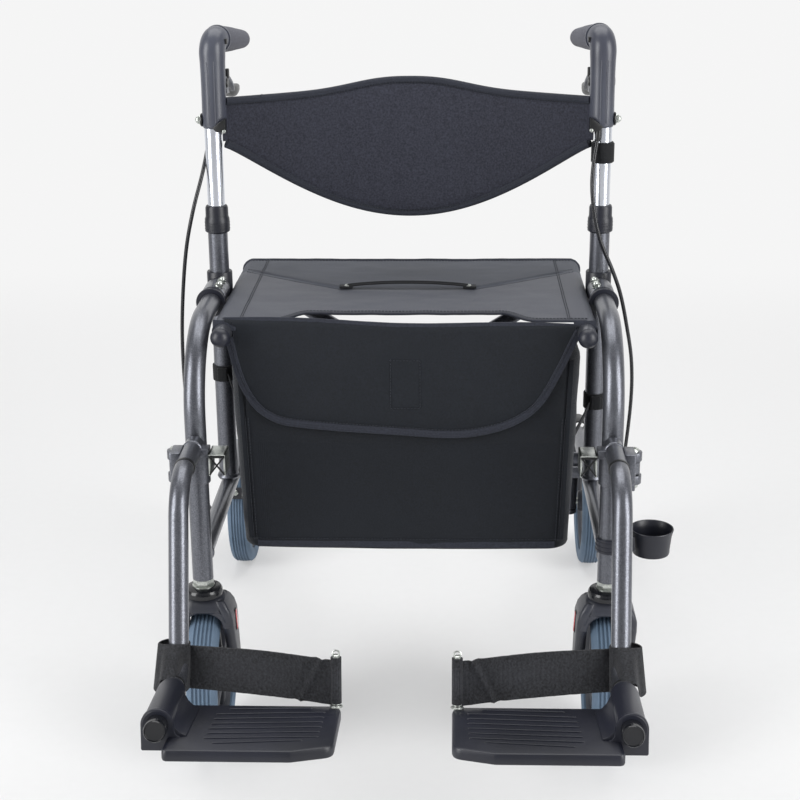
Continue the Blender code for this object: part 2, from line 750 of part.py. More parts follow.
def add_caster_fork():
    inner = FRONT_TYRE_HALF + FORK_SIDE_CLEAR
    outer = inner + FORK_LEG_T
    axle = (WHEEL_Y, FRONT_WHEEL_R)
    leg = [
        (LEG_Y - 0.019, CROWN_TOP_Z - 0.006),
        *arc(axle, 0.0125, 190, 370, 8),
        (LEG_Y + 0.030, CROWN_TOP_Z - 0.006),
    ]
    crown = [
        (-outer, CROWN_BOTTOM_Z - 0.004),
        (outer, CROWN_BOTTOM_Z - 0.004),
        *arc((outer - 0.016, CROWN_TOP_Z - 0.016), 0.016, 0, 90, 4),
        *arc((0.016 - outer, CROWN_TOP_Z - 0.016), 0.016, 90, 180, 4),
    ]
    arch = [
        (-inner, CROWN_BOTTOM_Z - 0.02),
        (inner, CROWN_BOTTOM_Z - 0.02),
        (inner, CROWN_BOTTOM_Z - 0.0065),
        (inner - 0.0065, CROWN_BOTTOM_Z),
        (0.0065 - inner, CROWN_BOTTOM_Z),
        (-inner, CROWN_BOTTOM_Z - 0.0065),
    ]
    crown_y = (LEG_Y - 0.0195, LEG_Y + 0.0305)
    axle_rod = rod(AXLE_R, (0, *axle), "X", -outer - 0.004, outer + 0.004, 16)
    shape = shaped(
        prism(crown, "Y", *crown_y),
        add=[
            prism(leg, "X", inner, outer - 0.002),
            prism(leg, "X", 0.002 - outer, -inner),
        ],
        cut=[
            prism(arch, "Y", crown_y[0] - 0.01, crown_y[1] + 0.05),
            rod(STEM_R + GAP, (0, LEG_Y, 0), "Z", CROWN_BOTTOM_Z - 0.02, CROWN_TOP_Z + 0.02, 16),
        ],
    )
    shape = shaped(shape, add=[axle_rod])
    bmesh.ops.translate(shape, vec=(FRAME_X, 0, 0), verts=shape.verts)
    both_sides("caster_fork", shape, "charcoal_plastic", (FRAME_X, LEG_Y, CROWN_TOP_Z))


def add_caster_stem():
    """The bearing cap, the lock nut and the stem on which the fork swivels."""
    low = CROWN_TOP_Z + GAP
    cap_top = low + BEARING_CAP_T
    body = turned(
        [
            (0, CROWN_BOTTOM_Z + 0.003),
            (STEM_R, CROWN_BOTTOM_Z + 0.003),
            (STEM_R, low),
            (BEARING_CAP_R - 0.002, low),
            (BEARING_CAP_R, low + 0.003),
            (BEARING_CAP_R, cap_top - 0.004),
            (BEARING_CAP_R - 0.004, cap_top),
            (0, cap_top),
        ],
        (FRAME_X, LEG_Y, 0),
        "Z",
        20,
    )
    nut_z = (cap_top - 0.001, LEG_BOTTOM_Z - GAP)
    nut = rod(STEM_NUT_AF / math.sqrt(3), (FRAME_X, LEG_Y, 0), "Z", *nut_z, 6)
    both_sides("caster_stem", shaped(body, add=[nut]), "zinc_hardware")


def tyre_shape(radius, half, centre):
    inner = radius - TYRE_WALL
    profile = [
        (inner, -half + 0.004),
        (inner + 0.006, -half + 0.0005),
        (radius - 0.009, -half),
        (radius - 0.0025, -half + 0.005),
        (radius, -half + 0.011),
        (radius, half - 0.011),
        (radius - 0.0025, half - 0.005),
        (radius - 0.009, half),
        (inner + 0.006, half - 0.0005),
        (inner, half - 0.004),
    ]
    return turned(profile, centre, "X", WHEEL_STEPS)


def rim_shape(radius, half, hub_half, centre):
    outer = radius - TYRE_WALL - GAP
    band = half - 0.005
    web = WEB_T / 2
    side = [
        (HUB_R, hub_half),
        (HUB_R, web),
        (outer - RIM_BAND_T, web),
        (outer - RIM_BAND_T, band),
        (outer, band),
    ]
    profile = [(AXLE_R + GAP, hub_half), *side, *[(r, -h) for r, h in reversed(side)]]
    profile.append((AXLE_R + GAP, -hub_half))
    return turned(profile, centre, "X", WHEEL_STEPS)


def add_wheels():
    rear = (REAR_WHEEL_X, REAR_AXLE_Y, REAR_WHEEL_R)
    front = (FRAME_X, WHEEL_Y, FRONT_WHEEL_R)
    rear_hub = REAR_TYRE_HALF + 0.0005
    front_hub = FRONT_TYRE_HALF + FORK_SIDE_CLEAR - 0.001
    for name, radius, half, hub, centre in (
        ("rear", REAR_WHEEL_R, REAR_TYRE_HALF, rear_hub, rear),
        ("front", FRONT_WHEEL_R, FRONT_TYRE_HALF, front_hub, front),
    ):
        both_sides(f"{name}_rim", rim_shape(radius, half, hub, centre), "wheel_plastic", centre)
        both_sides(f"{name}_tyre", tyre_shape(radius, half, centre), "tyre_grey", centre)


def add_handle_tube():
    shape = rod(
        HANDLE_TUBE_R,
        (FRAME_X, UPRIGHT_Y, 0),
        "Z",
        HANDLE_TUBE_BOTTOM_Z,
        HOUSING_BOTTOM_Z + HOUSING_SOCKET - GAP,
        20,
    )
    both_sides("handle_tube", shape, "bright_tube")


def add_handle_housing():
    """The elbow over the tube's top, with the strap knob outboard and the backrest bracket inboard."""
    foot = (FRAME_X, UPRIGHT_Y, HOUSING_BOTTOM_Z)
    end = ELBOW + GRIP_DIRECTION * HOUSING_REACH
    elbow = tube(rounded([foot, ELBOW, end], ELBOW_BEND_R), HOUSING_R, 20)
    bore = rod(
        HANDLE_TUBE_R + GAP,
        (FRAME_X, UPRIGHT_Y, 0),
        "Z",
        HOUSING_BOTTOM_Z - 0.01,
        HOUSING_BOTTOM_Z + HOUSING_SOCKET,
        20,
    )
    knob_z = HOUSING_BOTTOM_Z + 0.009
    knob = turned(
        [(0, 0.013), (0.0035, 0.013), (0.0035, 0.018), (0.006, 0.0185), (0.006, 0.0215), (0, 0.022)],
        (FRAME_X, UPRIGHT_Y, knob_z),
        "X",
        12,
    )
    bracket_inner = FRAME_X - BACK_END_CLEAR + GAP
    bracket = block(
        (bracket_inner, FRAME_X - HANDLE_TUBE_R - 0.0012),
        (UPRIGHT_Y - 0.008, UPRIGHT_Y + 0.008),
        (HOUSING_BOTTOM_Z - 0.006, HOUSING_BOTTOM_Z + 0.011),
    )
    both_sides("handle_housing", shaped(elbow, add=[knob, bracket], cut=[bore]), "charcoal_plastic")


def add_grip():
    length = (GRIP_END - ELBOW).length
    start = HOUSING_REACH + GAP
    profile = [
        (0, start),
        (GRIP_R + 0.0015, start),
        (GRIP_R + 0.0015, start + 0.004),
        (GRIP_R, start + 0.007),
        (GRIP_R + 0.0005, start + 0.4 * (length - start)),
        (GRIP_R - 0.0005, start + 0.6 * (length - start)),
        (GRIP_R + 0.0015, length - 0.012),
        (GRIP_R, length - 0.004),
        (0.6 * GRIP_R, length),
        (0, length + 0.0005),
    ]
    both_sides("grip", turned(profile, ELBOW, GRIP_DIRECTION, 20), "grip_rubber")


def add_brake_lever():
    """Two cheeks on the housing's pivot, joined below the grip into the blade that is squeezed."""
    cheek_in = HOUSING_R + GAP
    cheek_out = cheek_in + LEVER_CHEEK_T
    y0, z0 = LEVER_PIVOT_Y, LEVER_PIVOT_Z
    blade_y = (y0 + 0.020, y0 + LEVER_LENGTH)
    cheek = [
        *arc((y0, z0), 0.0085, 100, 260, 6),
        (y0 + 0.022, z0 - 0.017),
        (y0 + 0.026, z0 - 0.010),
    ]
    bridge_x = cheek_out - 0.0002
    bridge = block((-bridge_x, bridge_x), (y0 + 0.0175, y0 + 0.024), (z0 - 0.0165, z0 - 0.0105))
    blade = prism(
        [
            (blade_y[0], z0 - 0.0165),
            (blade_y[1] - 0.010, z0 - 0.0180),
            (blade_y[1], z0 - 0.0140),
            (blade_y[1], z0 - 0.0110),
            (blade_y[1] - 0.012, z0 - 0.0130),
            (blade_y[0], z0 - 0.0110),
        ],
        "X",
        -LEVER_W / 2,
        LEVER_W / 2,
    )
    shape = shaped(
        bridge,
        add=[
            prism(cheek, "X", cheek_in, cheek_out),
            prism(cheek, "X", -cheek_out, -cheek_in),
            blade,
        ],
    )
    bmesh.ops.translate(shape, vec=(FRAME_X, 0, 0), verts=shape.verts)
    both_sides("brake_lever", shape, "charcoal_plastic", (FRAME_X, y0, z0))


def add_brake_bracket():
    """The plate on the rail's outer side that carries the brake arm's pivot."""
    inner = FRAME_X + RAIL_R + GAP
    pivot = (0, BRAKE_PIVOT_Y, BRAKE_PIVOT_Z)
    drop = RAIL_BEND_R - math.sqrt(
        RAIL_BEND_R**2 - (BRAKE_PIVOT_Y - REAR_AXLE_Y + RAIL_BEND_R) ** 2
    )
    top = RAIL_Z - drop + 0.004
    outline = [
        *arc((BRAKE_PIVOT_Y, BRAKE_PIVOT_Z), 0.009, 190, 350, 6),
        (BRAKE_PIVOT_Y + 0.012, top - 0.006),
        (BRAKE_PIVOT_Y + 0.008, top),
        (BRAKE_PIVOT_Y - 0.014, top),
    ]
    pin = rod(BRAKE_PIN_R, pivot, "X", inner + 0.001, inner + 2 * BRAKE_PLATE_T + 0.002, 12)
    shape = shaped(prism(outline, "X", inner, inner + BRAKE_PLATE_T), add=[pin])
    both_sides("brake_bracket", shape, "zinc_hardware")


def add_brake_shoe():
    """The arm that hangs from the bracket and the block that presses on the rear tyre."""
    inner = FRAME_X + RAIL_R + GAP + BRAKE_PLATE_T + GAP
    angle = math.radians(SHOE_ANGLE_DEG)
    outward = Vector((0, math.cos(angle), math.sin(angle)))
    along = Vector((0, -math.sin(angle), math.cos(angle)))
    width, depth, length = SHOE_SIZE
    face = Vector((REAR_WHEEL_X, REAR_AXLE_Y, REAR_WHEEL_R)) + outward * (REAR_WHEEL_R + SHOE_CLEAR)
    across = Vector((1, 0, 0))
    shoe = loft([
        [
            face + across * (sx * width / 2) + along * (sy * length / 2) + outward * depth * level
            for sx, sy in ((-1, -1), (1, -1), (1, 1), (-1, 1))
        ]
        for level in (0, 1)
    ])
    middle = face + outward * depth * 0.75
    y1, z1 = middle.y, middle.z
    y0, z0 = BRAKE_PIVOT_Y, BRAKE_PIVOT_Z
    arm = prism(
        [
            (y0 - 0.008, z0 + 0.002),
            (y0 - 0.004, z0 + 0.008),
            (y0 + 0.004, z0 + 0.008),
            (y0 + 0.008, z0 + 0.002),
            (y1 + 0.005, z1 + 0.004),
            (y1 + 0.003, z1 - 0.003),
            (y1 - 0.006, z1 - 0.001),
        ],
        "X",
        inner,
        inner + BRAKE_PLATE_T,
    )
    foot = block(
        (inner + 0.0005, REAR_WHEEL_X - width / 2 + 0.004),
        (y1 - 0.0045, y1 + 0.0025),
        (z1 - 0.0010, z1 + 0.0040),
    )
    bore = rod(BRAKE_PIN_R + GAP, (0, y0, z0), "X", inner - 0.01, inner + 0.01, 12)
    shape = shaped(arm, add=[foot, shoe], cut=[bore])
    both_sides("brake_shoe", shape, "brake_block", (inner, y0, z0))


def add_braces():
    """The cross brace: each tube turns on one lower rail and carries the other side's seat rail."""
    half_w, low, high = SEAT_RAIL_X, RAIL_Z, SEAT_RAIL_Z
    middle_z = (low + high) / 2
    rise = high - low
    span = Vector((2 * half_w, 0, rise))
    along = span.normalized()
    for name, y, side in (("brace_a", BRACE_A_Y, 1), ("brace_b", BRACE_B_Y, -1)):
        start = Vector((-half_w, y, low))
        top = Vector((half_w, y, high)) - along * (RAIL_R + 3 * GAP)
        flat_cut = [
            block((-half_w - 0.02, -half_w + 0.018), (y - 0.02, y - 0.0045), (low - 0.02, low + 0.02)),
            block((-half_w - 0.02, -half_w + 0.018), (y + 0.0045, y + 0.02), (low - 0.02, low + 0.02)),
            rod(BRACE_PIN_R + GAP, (-half_w, 0, low), "Y", y - 0.02, y + 0.02, 12),
        ]
        eye = rod(BRACE_EYE_R, (-half_w, 0, low), "Y", y - 0.0044, y + 0.0044, 16)
        body = tube([start + along * 0.004, top], BRACE_R)
        centre = (0, 0, middle_z)
        if side > 0:
            flat_cut.append(rod(AXLE_R + GAP, centre, "Y", y - 0.02, y + 0.02, 16))
            shape = shaped(body, add=[eye], cut=flat_cut)
        else:
            shape = shaped(body, add=[eye], cut=flat_cut)
            front = BRACE_A_Y - BRACE_R
            bolt = turned(
                [
                    (0, front - 0.006),
                    (AXLE_R + 0.003, front - 0.005),
                    (AXLE_R + 0.003, front - 0.001),
                    (AXLE_R, front - 0.001),
                    (AXLE_R, y),
                    (0, y),
                ],
                centre,
                "Y",
                16,
            )
            shape = shaped(shape, add=[bolt])
            bmesh.ops.transform(shape, matrix=MIRROR_X, verts=shape.verts)
        as_object(name, shape, "grey_frame_paint", (-half_w * side, y, low) if side > 0 else centre)


def add_seat_rails():
    low, high = SEAT_RAIL_FRONT_Y, SEAT_RAIL_REAR_Y
    centre = (SEAT_RAIL_X, 0, SEAT_RAIL_Z)
    both_sides("seat_rail", rod(RAIL_R, centre, "Y", low, high, 20), "grey_frame_paint")
    flat = low - GAP
    ball = [(BALL_CAP_R * math.cos(a), flat - BALL_CAP_R * math.sin(a)) for a in (0, 0.4, 0.8, 1.2)]
    profile = [(0, flat), *ball, (0, flat - BALL_CAP_R)]
    both_sides("ball_cap", turned(profile, centre, "Y", 20), "charcoal_plastic")


def add_seat():
    low = SEAT_RAIL_Z + RAIL_R + GAP
    corner = 0.012
    x, y0, y1 = SEAT_HALF_W, SEAT_FRONT_Y, SEAT_REAR_Y
    outline = [
        *arc((x - corner, y0 + corner), corner, -90, 0, 3),
        *arc((x - corner, y1 - corner), corner, 0, 90, 3),
        *arc((corner - x, y1 - corner), corner, 90, 180, 3),
        *arc((corner - x, y0 + corner), corner, 180, 270, 3),
    ]
    as_object("seat_sling", prism(outline, "Z", low, low + SEAT_T), "seat_fabric")
    base = low + SEAT_T + GAP
    stations = 8
    half_y, half_t = STRAP_W / 2, 0.001
    sections = []
    for i in range(stations + 1):
        share = 2 * i / stations - 1
        z = base + half_t + STRAP_RISE * (1 - share**2)
        x = STRAP_HALF_L * share
        sections.append([
            (x, STRAP_Y - half_y, z - half_t),
            (x, STRAP_Y + half_y, z - half_t),
            (x, STRAP_Y + half_y, z + half_t),
            (x, STRAP_Y - half_y, z + half_t),
        ])
    as_object("seat_lift_strap", loft(sections), "webbing")


def bag_outline(inset, top_z, step_z):
    """The bag seen from the front: it narrows between the seat rails and is rounded below."""
    top_half = SEAT_RAIL_X - RAIL_R - 2 * GAP - inset
    wide = BAG_HALF_W - inset
    narrow = BAG_BOTTOM_HALF_W - inset
    low = BAG_BOTTOM_Z + inset
    radius = BAG_CORNER_R - inset
    right = arc((narrow - radius, low + radius), radius, -90, -3, 5)
    edge = [*right, (wide, step_z), (top_half, step_z), (top_half, top_z)]
    return edge + [(-x, z) for x, z in reversed(edge)]


def add_bag():
    step_z = SEAT_RAIL_Z - RAIL_R - GAP
    outer = prism(bag_outline(0, BAG_TOP_Z, step_z), "Y", BAG_FRONT_Y, BAG_REAR_Y)
    inner = prism(
        bag_outline(BAG_WALL, BAG_TOP_Z + 0.01, step_z - BAG_WALL),
        "Y",
        BAG_FRONT_Y + BAG_WALL,
        BAG_REAR_Y - BAG_WALL,
    )
    as_object("storage_bag", shaped(outer, cut=[inner]), "bag_fabric")


def add_backrest():
    """A padded band between the handles that hangs back in a bow, thick in its middle."""
    half = FRAME_X - BACK_END_CLEAR
    stations = 20
    sections = []
    for i in range(stations + 1):
        share = 2 * i / stations - 1
        belly = (1 - share**2) ** 1.15
        low = BACK_END_Z[0] + (BACK_MID_Z[0] - BACK_END_Z[0]) * belly
        high = BACK_END_Z[1] + (BACK_MID_Z[1] - BACK_END_Z[1]) * (1 - abs(share) ** 2.6)
        y = UPRIGHT_Y + BACK_BOW * (1 - share**2)
        thick = BACK_END_T + (BACK_MID_T - BACK_END_T) * (1 - share**4)
        middle, tall = (low + high) / 2, (high - low) / 2
        ring = []
        for k in range(12):
            angle = math.tau * (k + 0.5) / 12
            across = math.copysign(abs(math.cos(angle)) ** 0.6, math.cos(angle))
            up = math.copysign(abs(math.sin(angle)) ** 0.45, math.sin(angle))
            ring.append((half * share, y + thick / 2 * across, middle + tall * up))
        sections.append(ring)
    as_object("backrest_band", loft(sections), "seat_fabric")


def add_cane_holder():
    """The cup on the right front leg and the strap on the right handle tube."""
    centre = (FRAME_X + CUP_OUT, LEG_Y + CUP_BACK, CUP_BOTTOM_Z)
    cup = turned(
        [
            (0, 0),
            (CUP_R - 0.004, 0),
            (CUP_R - 0.0015, CUP_H - 0.006),
            (CUP_R, CUP_H),
            (CUP_R - CUP_WALL, CUP_H),
            (CUP_R - 0.0035 - CUP_WALL, CUP_WALL),
            (0, CUP_WALL),
        ],
        centre,
        "Z",
        20,
    )
    leg = (FRAME_X, LEG_Y, 0)
    band_z = (RAIL_TOP_Z + 0.001, RAIL_TOP_Z + 0.001 + CUP_BAND_H)
    out = Vector((CUP_OUT, CUP_BACK, 0)).normalized()
    side = Vector((-out.y, out.x, 0)) * CUP_WEB_HALF_T
    near = Vector((FRAME_X, LEG_Y, 0)) + out * (LEG_R + 0.001)
    far = Vector((FRAME_X, LEG_Y, 0)) + out * (math.hypot(CUP_OUT, CUP_BACK) - CUP_R + 0.003)
    web = prism(
        [(p + side * s).to_2d() for p, s in ((near, -1), (far, -1), (far, 1), (near, 1))],
        "Z",
        CUP_BOTTOM_Z + CUP_H - 0.014,
        band_z[1] - 0.002,
    )
    shape = shaped(
        rod(LEG_R + 0.003, leg, "Z", *band_z, 20),
        add=[web, cup],
        cut=[rod(LEG_R + GAP, leg, "Z", band_z[0] - 0.02, band_z[1] + 0.02, 20)],
    )
    as_object("cane_cup", shape, "charcoal_plastic")
    ring = sleeve(
        HANDLE_TUBE_R + GAP,
        CANE_STRAP_R,
        (FRAME_X, UPRIGHT_Y, 0),
        "Z",
        CANE_STRAP_Z,
        CANE_STRAP_Z + CANE_STRAP_H,
        20,
    )
    as_object("cane_strap", ring, "webbing")


def smooth_route(route, pitch):
    """Points about one pitch apart on a smooth curve through the route's points."""
    points = [Vector(point) for point in route]
    ends = [2 * points[0] - points[1], *points, 2 * points[-1] - points[-2]]
    path = [points[0]]
    for a, b, c, d in zip(ends, ends[1:], ends[2:], ends[3:]):
        steps = max(1, round((c - b).length / pitch))
        for i in range(1, steps + 1):
            t = i / steps
            square = (2 * a - 5 * b + 4 * c - d) * t**2
            cube = (3 * b - a - 3 * c + d) * t**3
            path.append(0.5 * (2 * b + (c - a) * t + square + cube))
    return path


def add_brake_cable(name, route):
    curve = bpy.data.curves.new(name, "CURVE")
    curve.dimensions = "3D"
    curve.bevel_depth = CABLE_R
    curve.bevel_resolution = 2
    curve.use_fill_caps = True
    path = smooth_route(route, CABLE_PITCH)
    spline = curve.splines.new("POLY")
    spline.points.add(len(path) - 1)
    for point, place in zip(spline.points, path):
        point.co = (*place, 1)
    curve.materials.append(finish_material("cable_jacket"))
    cable = bpy.data.objects.new(name, curve)
    bpy.context.scene.collection.objects.link(cable)


def put_origin_under_middle():
    for thing in bpy.data.objects:
        thing.location.y += MIDDLE_SHIFT


def build():
    clear_scene()
    add_front_leg()
    add_upright()
    add_lower_rail()
    add_collar()
    add_saddle_clamp()
    add_pivot_bracket()
    add_hanger()
    add_hanger_catch()
    add_foot_plate()
    add_heel_pin()
    add_heel_strap()
    add_caster_fork()
    add_caster_stem()
    add_wheels()
    add_handle_tube()
    add_handle_housing()
    add_grip()
    add_brake_lever()
    add_brake_bracket()
    add_brake_shoe()
    add_braces()
    add_seat_rails()
    add_seat()
    add_bag()
    add_backrest()
    add_cane_holder()
    add_brake_cable("left_brake_cable", LEFT_CABLE_ROUTE)
    add_brake_cable("right_brake_cable", RIGHT_CABLE_ROUTE)
    put_origin_under_middle()


build()
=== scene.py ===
import math

import bmesh
import bpy
from mathutils import Matrix, Vector, noise


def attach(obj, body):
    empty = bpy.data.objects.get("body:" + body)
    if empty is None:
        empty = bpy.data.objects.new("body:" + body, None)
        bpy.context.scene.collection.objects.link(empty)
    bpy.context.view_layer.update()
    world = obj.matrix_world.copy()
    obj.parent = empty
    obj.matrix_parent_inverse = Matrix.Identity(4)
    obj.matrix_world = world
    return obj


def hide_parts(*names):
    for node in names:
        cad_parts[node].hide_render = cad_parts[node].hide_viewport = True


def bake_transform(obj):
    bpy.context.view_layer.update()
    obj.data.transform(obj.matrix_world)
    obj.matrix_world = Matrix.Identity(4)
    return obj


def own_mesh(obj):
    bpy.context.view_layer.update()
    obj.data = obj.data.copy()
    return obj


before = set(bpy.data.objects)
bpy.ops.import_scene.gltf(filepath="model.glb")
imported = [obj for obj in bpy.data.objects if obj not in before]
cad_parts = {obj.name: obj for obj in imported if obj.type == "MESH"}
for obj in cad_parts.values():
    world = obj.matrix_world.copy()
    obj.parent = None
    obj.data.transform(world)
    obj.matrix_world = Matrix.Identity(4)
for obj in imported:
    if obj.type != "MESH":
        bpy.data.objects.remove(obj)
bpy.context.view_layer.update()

# Sizes are in metres, measured from the axis between the side arms.
# MIDDLE_SHIFT brings them to the frame's own origin.
MIDDLE_SHIFT = Vector((0.0, 0.1475, 0.0))
UP = Vector((0.0, 0.0, 1.0))
ROUND = 40

# Side frames
FRAME_X = 0.247
LEG_Y = -0.3
UPRIGHT_Y = -0.056
UPRIGHT_AXIS = (FRAME_X, UPRIGHT_Y, 0)
LEG_AXIS = (FRAME_X, LEG_Y, 0)
BRACE_FOOT_X = 0.2175
BRACE_CROSS_Z = 0.4065
HINGE_X = 0.272
SEAT_RAIL_X = 0.2175
SEAT_RAIL_Z = 0.541
LEG_R = 0.0127
RAIL_R = 0.0111
ARM_Z = 0.55
RAIL_Z = 0.272
AXLE_Z = 0.1
REAR_AXLE = Vector((0.2775, 0.309, AXLE_Z))
FRONT_AXLE = Vector((FRAME_X, -0.265, AXLE_Z))

# The brake's pivot, in y and z
BRAKE_PIVOT = (0.185, 0.215)

# Handles
HANDLE_FOOT_Z = 0.758
CLAMP_Z = 0.767
HANDLE_ELBOW = Vector((FRAME_X - 0.0032, UPRIGHT_Y, 0.8672))
GRIP_RUN = Vector((-0.0232, 0.126, -0.0122))
LEVER_PIVOT = Vector((FRAME_X, -0.044, 0.812))

# Foot rests
HANGER_X = 0.2455
HANGER_Z = 0.424
FOOT_CORNER = Vector((HANGER_X - 0.003, -0.51199, 0.225))
FOOT_TILT = math.radians(10)
FOOT_ALONG = Vector((0, -math.cos(FOOT_TILT), math.sin(FOOT_TILT)))
FOOT_UP = Vector((0, math.sin(FOOT_TILT), math.cos(FOOT_TILT)))
HUB_RUN = (FOOT_ALONG * 0.1735 + Vector((-0.0055, 0, 0))).normalized()


class Shape:
    """Points, faces and the cloth or length coordinates of each face corner, in metres."""

    def __init__(self):
        self.points = []
        self.faces = []
        self.corners = []

    def add_face(self, indices, corners=None):
        self.faces.append(tuple(indices))
        self.corners.append(corners or [(0.0, 0.0)] * len(indices))

    def join(self, other):
        start = len(self.points)
        self.points += other.points
        for indices, corners in zip(other.faces, other.corners):
            self.add_face([start + i for i in indices], corners)
        return self

    def moved(self, matrix):
        out = Shape()
        out.points = [matrix @ Vector(p) for p in self.points]
        flip = matrix.determinant() < 0
        for indices, corners in zip(self.faces, self.corners):
            if flip:
                out.add_face(tuple(reversed(indices)), list(reversed(corners)))
            else:
                out.add_face(indices, corners)
        return out

    def mirrored(self):
        return self.moved(Matrix.Scale(-1, 4, (1, 0, 0)))


def joined(shapes):
    whole = Shape()
    for shape in shapes:
        whole.join(shape)
    return whole


def spread(start, end, steps):
    return [start + (end - start) * i / steps for i in range(steps + 1)]


def step_up(value, low, high):
    """0 before low, 1 after high, smooth between."""
    t = min(max((value - low) / (high - low), 0.0), 1.0)
    return t * t * (3 - 2 * t)


def lengths_of(path, closed=False):
    runs = [0.0]
    for a, b in zip(path, list(path[1:]) + ([path[0]] if closed else [])):
        runs.append(runs[-1] + (Vector(b) - Vector(a)).length)
    return runs


def ring_skin(rings, closed=True, loop=False, caps=True, flip=False):
    """A skin over rings of points. Its coordinates run round each ring and along the rings."""
    shape = Shape()
    count = len(rings[0])
    for ring in rings:
        shape.points += [Vector(p) for p in ring]
    round_runs = lengths_of(rings[len(rings) // 2], closed)
    centres = [sum((Vector(p) for p in ring), Vector()) / count for ring in rings]
    long_runs = lengths_of(centres, loop)
    total = len(rings) if loop else len(rings) - 1
    for i in range(total):
        low = i * count
        high = ((i + 1) % len(rings)) * count
        for j in range(count if closed else count - 1):
            k = (j + 1) % count
            indices = [low + j, low + k, high + k, high + j]
            corners = [
                (round_runs[j], long_runs[i]), (round_runs[j + 1], long_runs[i]),
                (round_runs[j + 1], long_runs[i + 1]), (round_runs[j], long_runs[i + 1]),
            ]
            if flip:
                indices.reverse()
                corners.reverse()
            shape.add_face(indices, corners)
    if caps and closed and not loop:
        first = list(range(count))
        last = [(len(rings) - 1) * count + j for j in range(count)]
        shape.add_face(first if flip else first[::-1])
        shape.add_face(last[::-1] if flip else last)
    return shape


def circle(radius, steps=ROUND, start=0.0):
    turns = [start + 2 * math.pi * i / steps for i in range(steps)]
    return [(radius * math.cos(t), radius * math.sin(t)) for t in turns]


def arc(centre, radius, start, sweep, steps):
    """Points on part of a circle. The start and the sweep are in degrees."""
    turns = [math.radians(start + sweep * i / steps) for i in range(steps + 1)]
    return [(centre[0] + radius * math.cos(t), centre[1] + radius * math.sin(t)) for t in turns]


def dome_profile(radius, base, rise, steps):
    """The profile of a dome, from its rim to its top."""
    turns = [math.radians(90 * i / steps) for i in range(steps + 1)]
    return [(radius * math.cos(t), base + rise * math.sin(t)) for t in turns]


def ridge_profile(low, high, at, half, flat):
    """The profile of a ridge round a tube: two radii, its place, its half width and its flat top."""
    return [(low, at - half), (high, at - flat), (high, at + flat), (low, at + half)]


def sleeve_profile(inner, outer, low, high, bevel, rise):
    """The profile of a sleeve round a tube, bevelled outside at both ends."""
    near = [(inner, low), (outer - bevel, low), (outer, low + rise)]
    return near + [(outer, high - rise), (outer - bevel, high), (inner, high)]


def rounded_box(half_a, half_b, corner, steps=4):
    """The outline of a flat bar or strap with round corners."""
    out = []
    for a, b, start in ((1, 1, 0), (-1, 1, 90), (-1, -1, 180), (1, -1, 270)):
        for i in range(steps + 1):
            turn = math.radians(start + 90 * i / steps)
            x = a * (half_a - corner) + corner * math.cos(turn)
            y = b * (half_b - corner) + corner * math.sin(turn)
            out.append((x, y))
    return out


def frames_along(path, up=None):
    """A side and an up direction at each point, carried along the path without twist."""
    out = []
    side = None
    for i in range(len(path)):
        before = path[max(i - 1, 0)]
        after = path[min(i + 1, len(path) - 1)]
        run = (after - before).normalized()
        if up is not None:
            side = run.cross(up).normalized()
        elif side is None:
            guess = UP if abs(run.z) < 0.9 else Vector((0, 1, 0))
            side = run.cross(guess).normalized()
        else:
            side = (side - run * side.dot(run)).normalized()
        out.append((side, side.cross(run).normalized()))
    return out


def swept(path, section, up=None, scale=None, caps=True, loop=False):
    """A section carried along a path. The scale gives its size at each point of the path."""
    path = [Vector(p) for p in path]
    rings = []
    for i, (side, top) in enumerate(frames_along(path, up)):
        size = scale[i] if scale else 1.0
        rings.append([path[i] + side * (a * size) + top * (b * size) for a, b in section])
    return ring_skin(rings, caps=caps, loop=loop)


def corner_arc(before, corner, after, radius, steps):
    """The arc that rounds one corner of a path or an outline."""
    back = (before - corner).normalized()
    ahead = (after - corner).normalized()
    half = back.angle(ahead) / 2
    cut = radius / math.tan(half)
    centre = corner + (back + ahead).normalized() * radius / math.sin(half)
    start = corner + back * cut - centre
    end = corner + ahead * cut - centre
    turn = start.angle(end)
    arms = [start * math.sin((1 - t) * turn) + end * math.sin(t * turn) for t in spread(0.0, 1.0, steps)]
    return [centre + arm / math.sin(turn) for arm in arms]


def bent(points, radii, steps=10):
    """A path through corners, each rounded to its bend radius."""
    points = [Vector(p) for p in points]
    out = [points[0]]
    for before, corner, after, radius in zip(points, points[1:], points[2:], radii):
        out += corner_arc(before, corner, after, radius, steps)
    return out + [points[-1]]


def tube(points, radius, radii=(), steps=10, sides=ROUND):
    path = bent(points, radii, steps) if radii else [Vector(p) for p in points]
    return swept(path, circle(radius, sides))


def basis(origin, along, side=None):
    """A frame whose Z runs along the given direction."""
    along = Vector(along).normalized()
    if side is None:
        side = Vector((1, 0, 0)) if abs(along.x) < 0.9 else Vector((0, 1, 0))
    side = Vector(side)
    side = (side - along * side.dot(along)).normalized()
    other = along.cross(side)
    matrix = Matrix((side, other, along)).transposed().to_4x4()
    return Matrix.Translation(Vector(origin)) @ matrix


def plane_y(y, x=0.0):
    """A frame for an outline in x and z, at the given y."""
    return Matrix(((1, 0, 0, x), (0, 0, 1, y), (0, 1, 0, 0), (0, 0, 0, 1)))


def plane_x(x):
    """A frame for an outline in y and z, at the given x."""
    return Matrix(((0, 0, 1, x), (1, 0, 0, 0), (0, 1, 0, 0), (0, 0, 0, 1)))


def turned(profile, origin, along, steps=ROUND, side=None):
    """A profile of (radius, height) turned about an axis, closed at both ends."""
    matrix = basis(origin, along, side)
    rings = []
    for radius, height in profile:
        rings.append([matrix @ Vector((x, y, height)) for x, y in circle(max(radius, 1e-6), steps)])
    return ring_skin(rings)


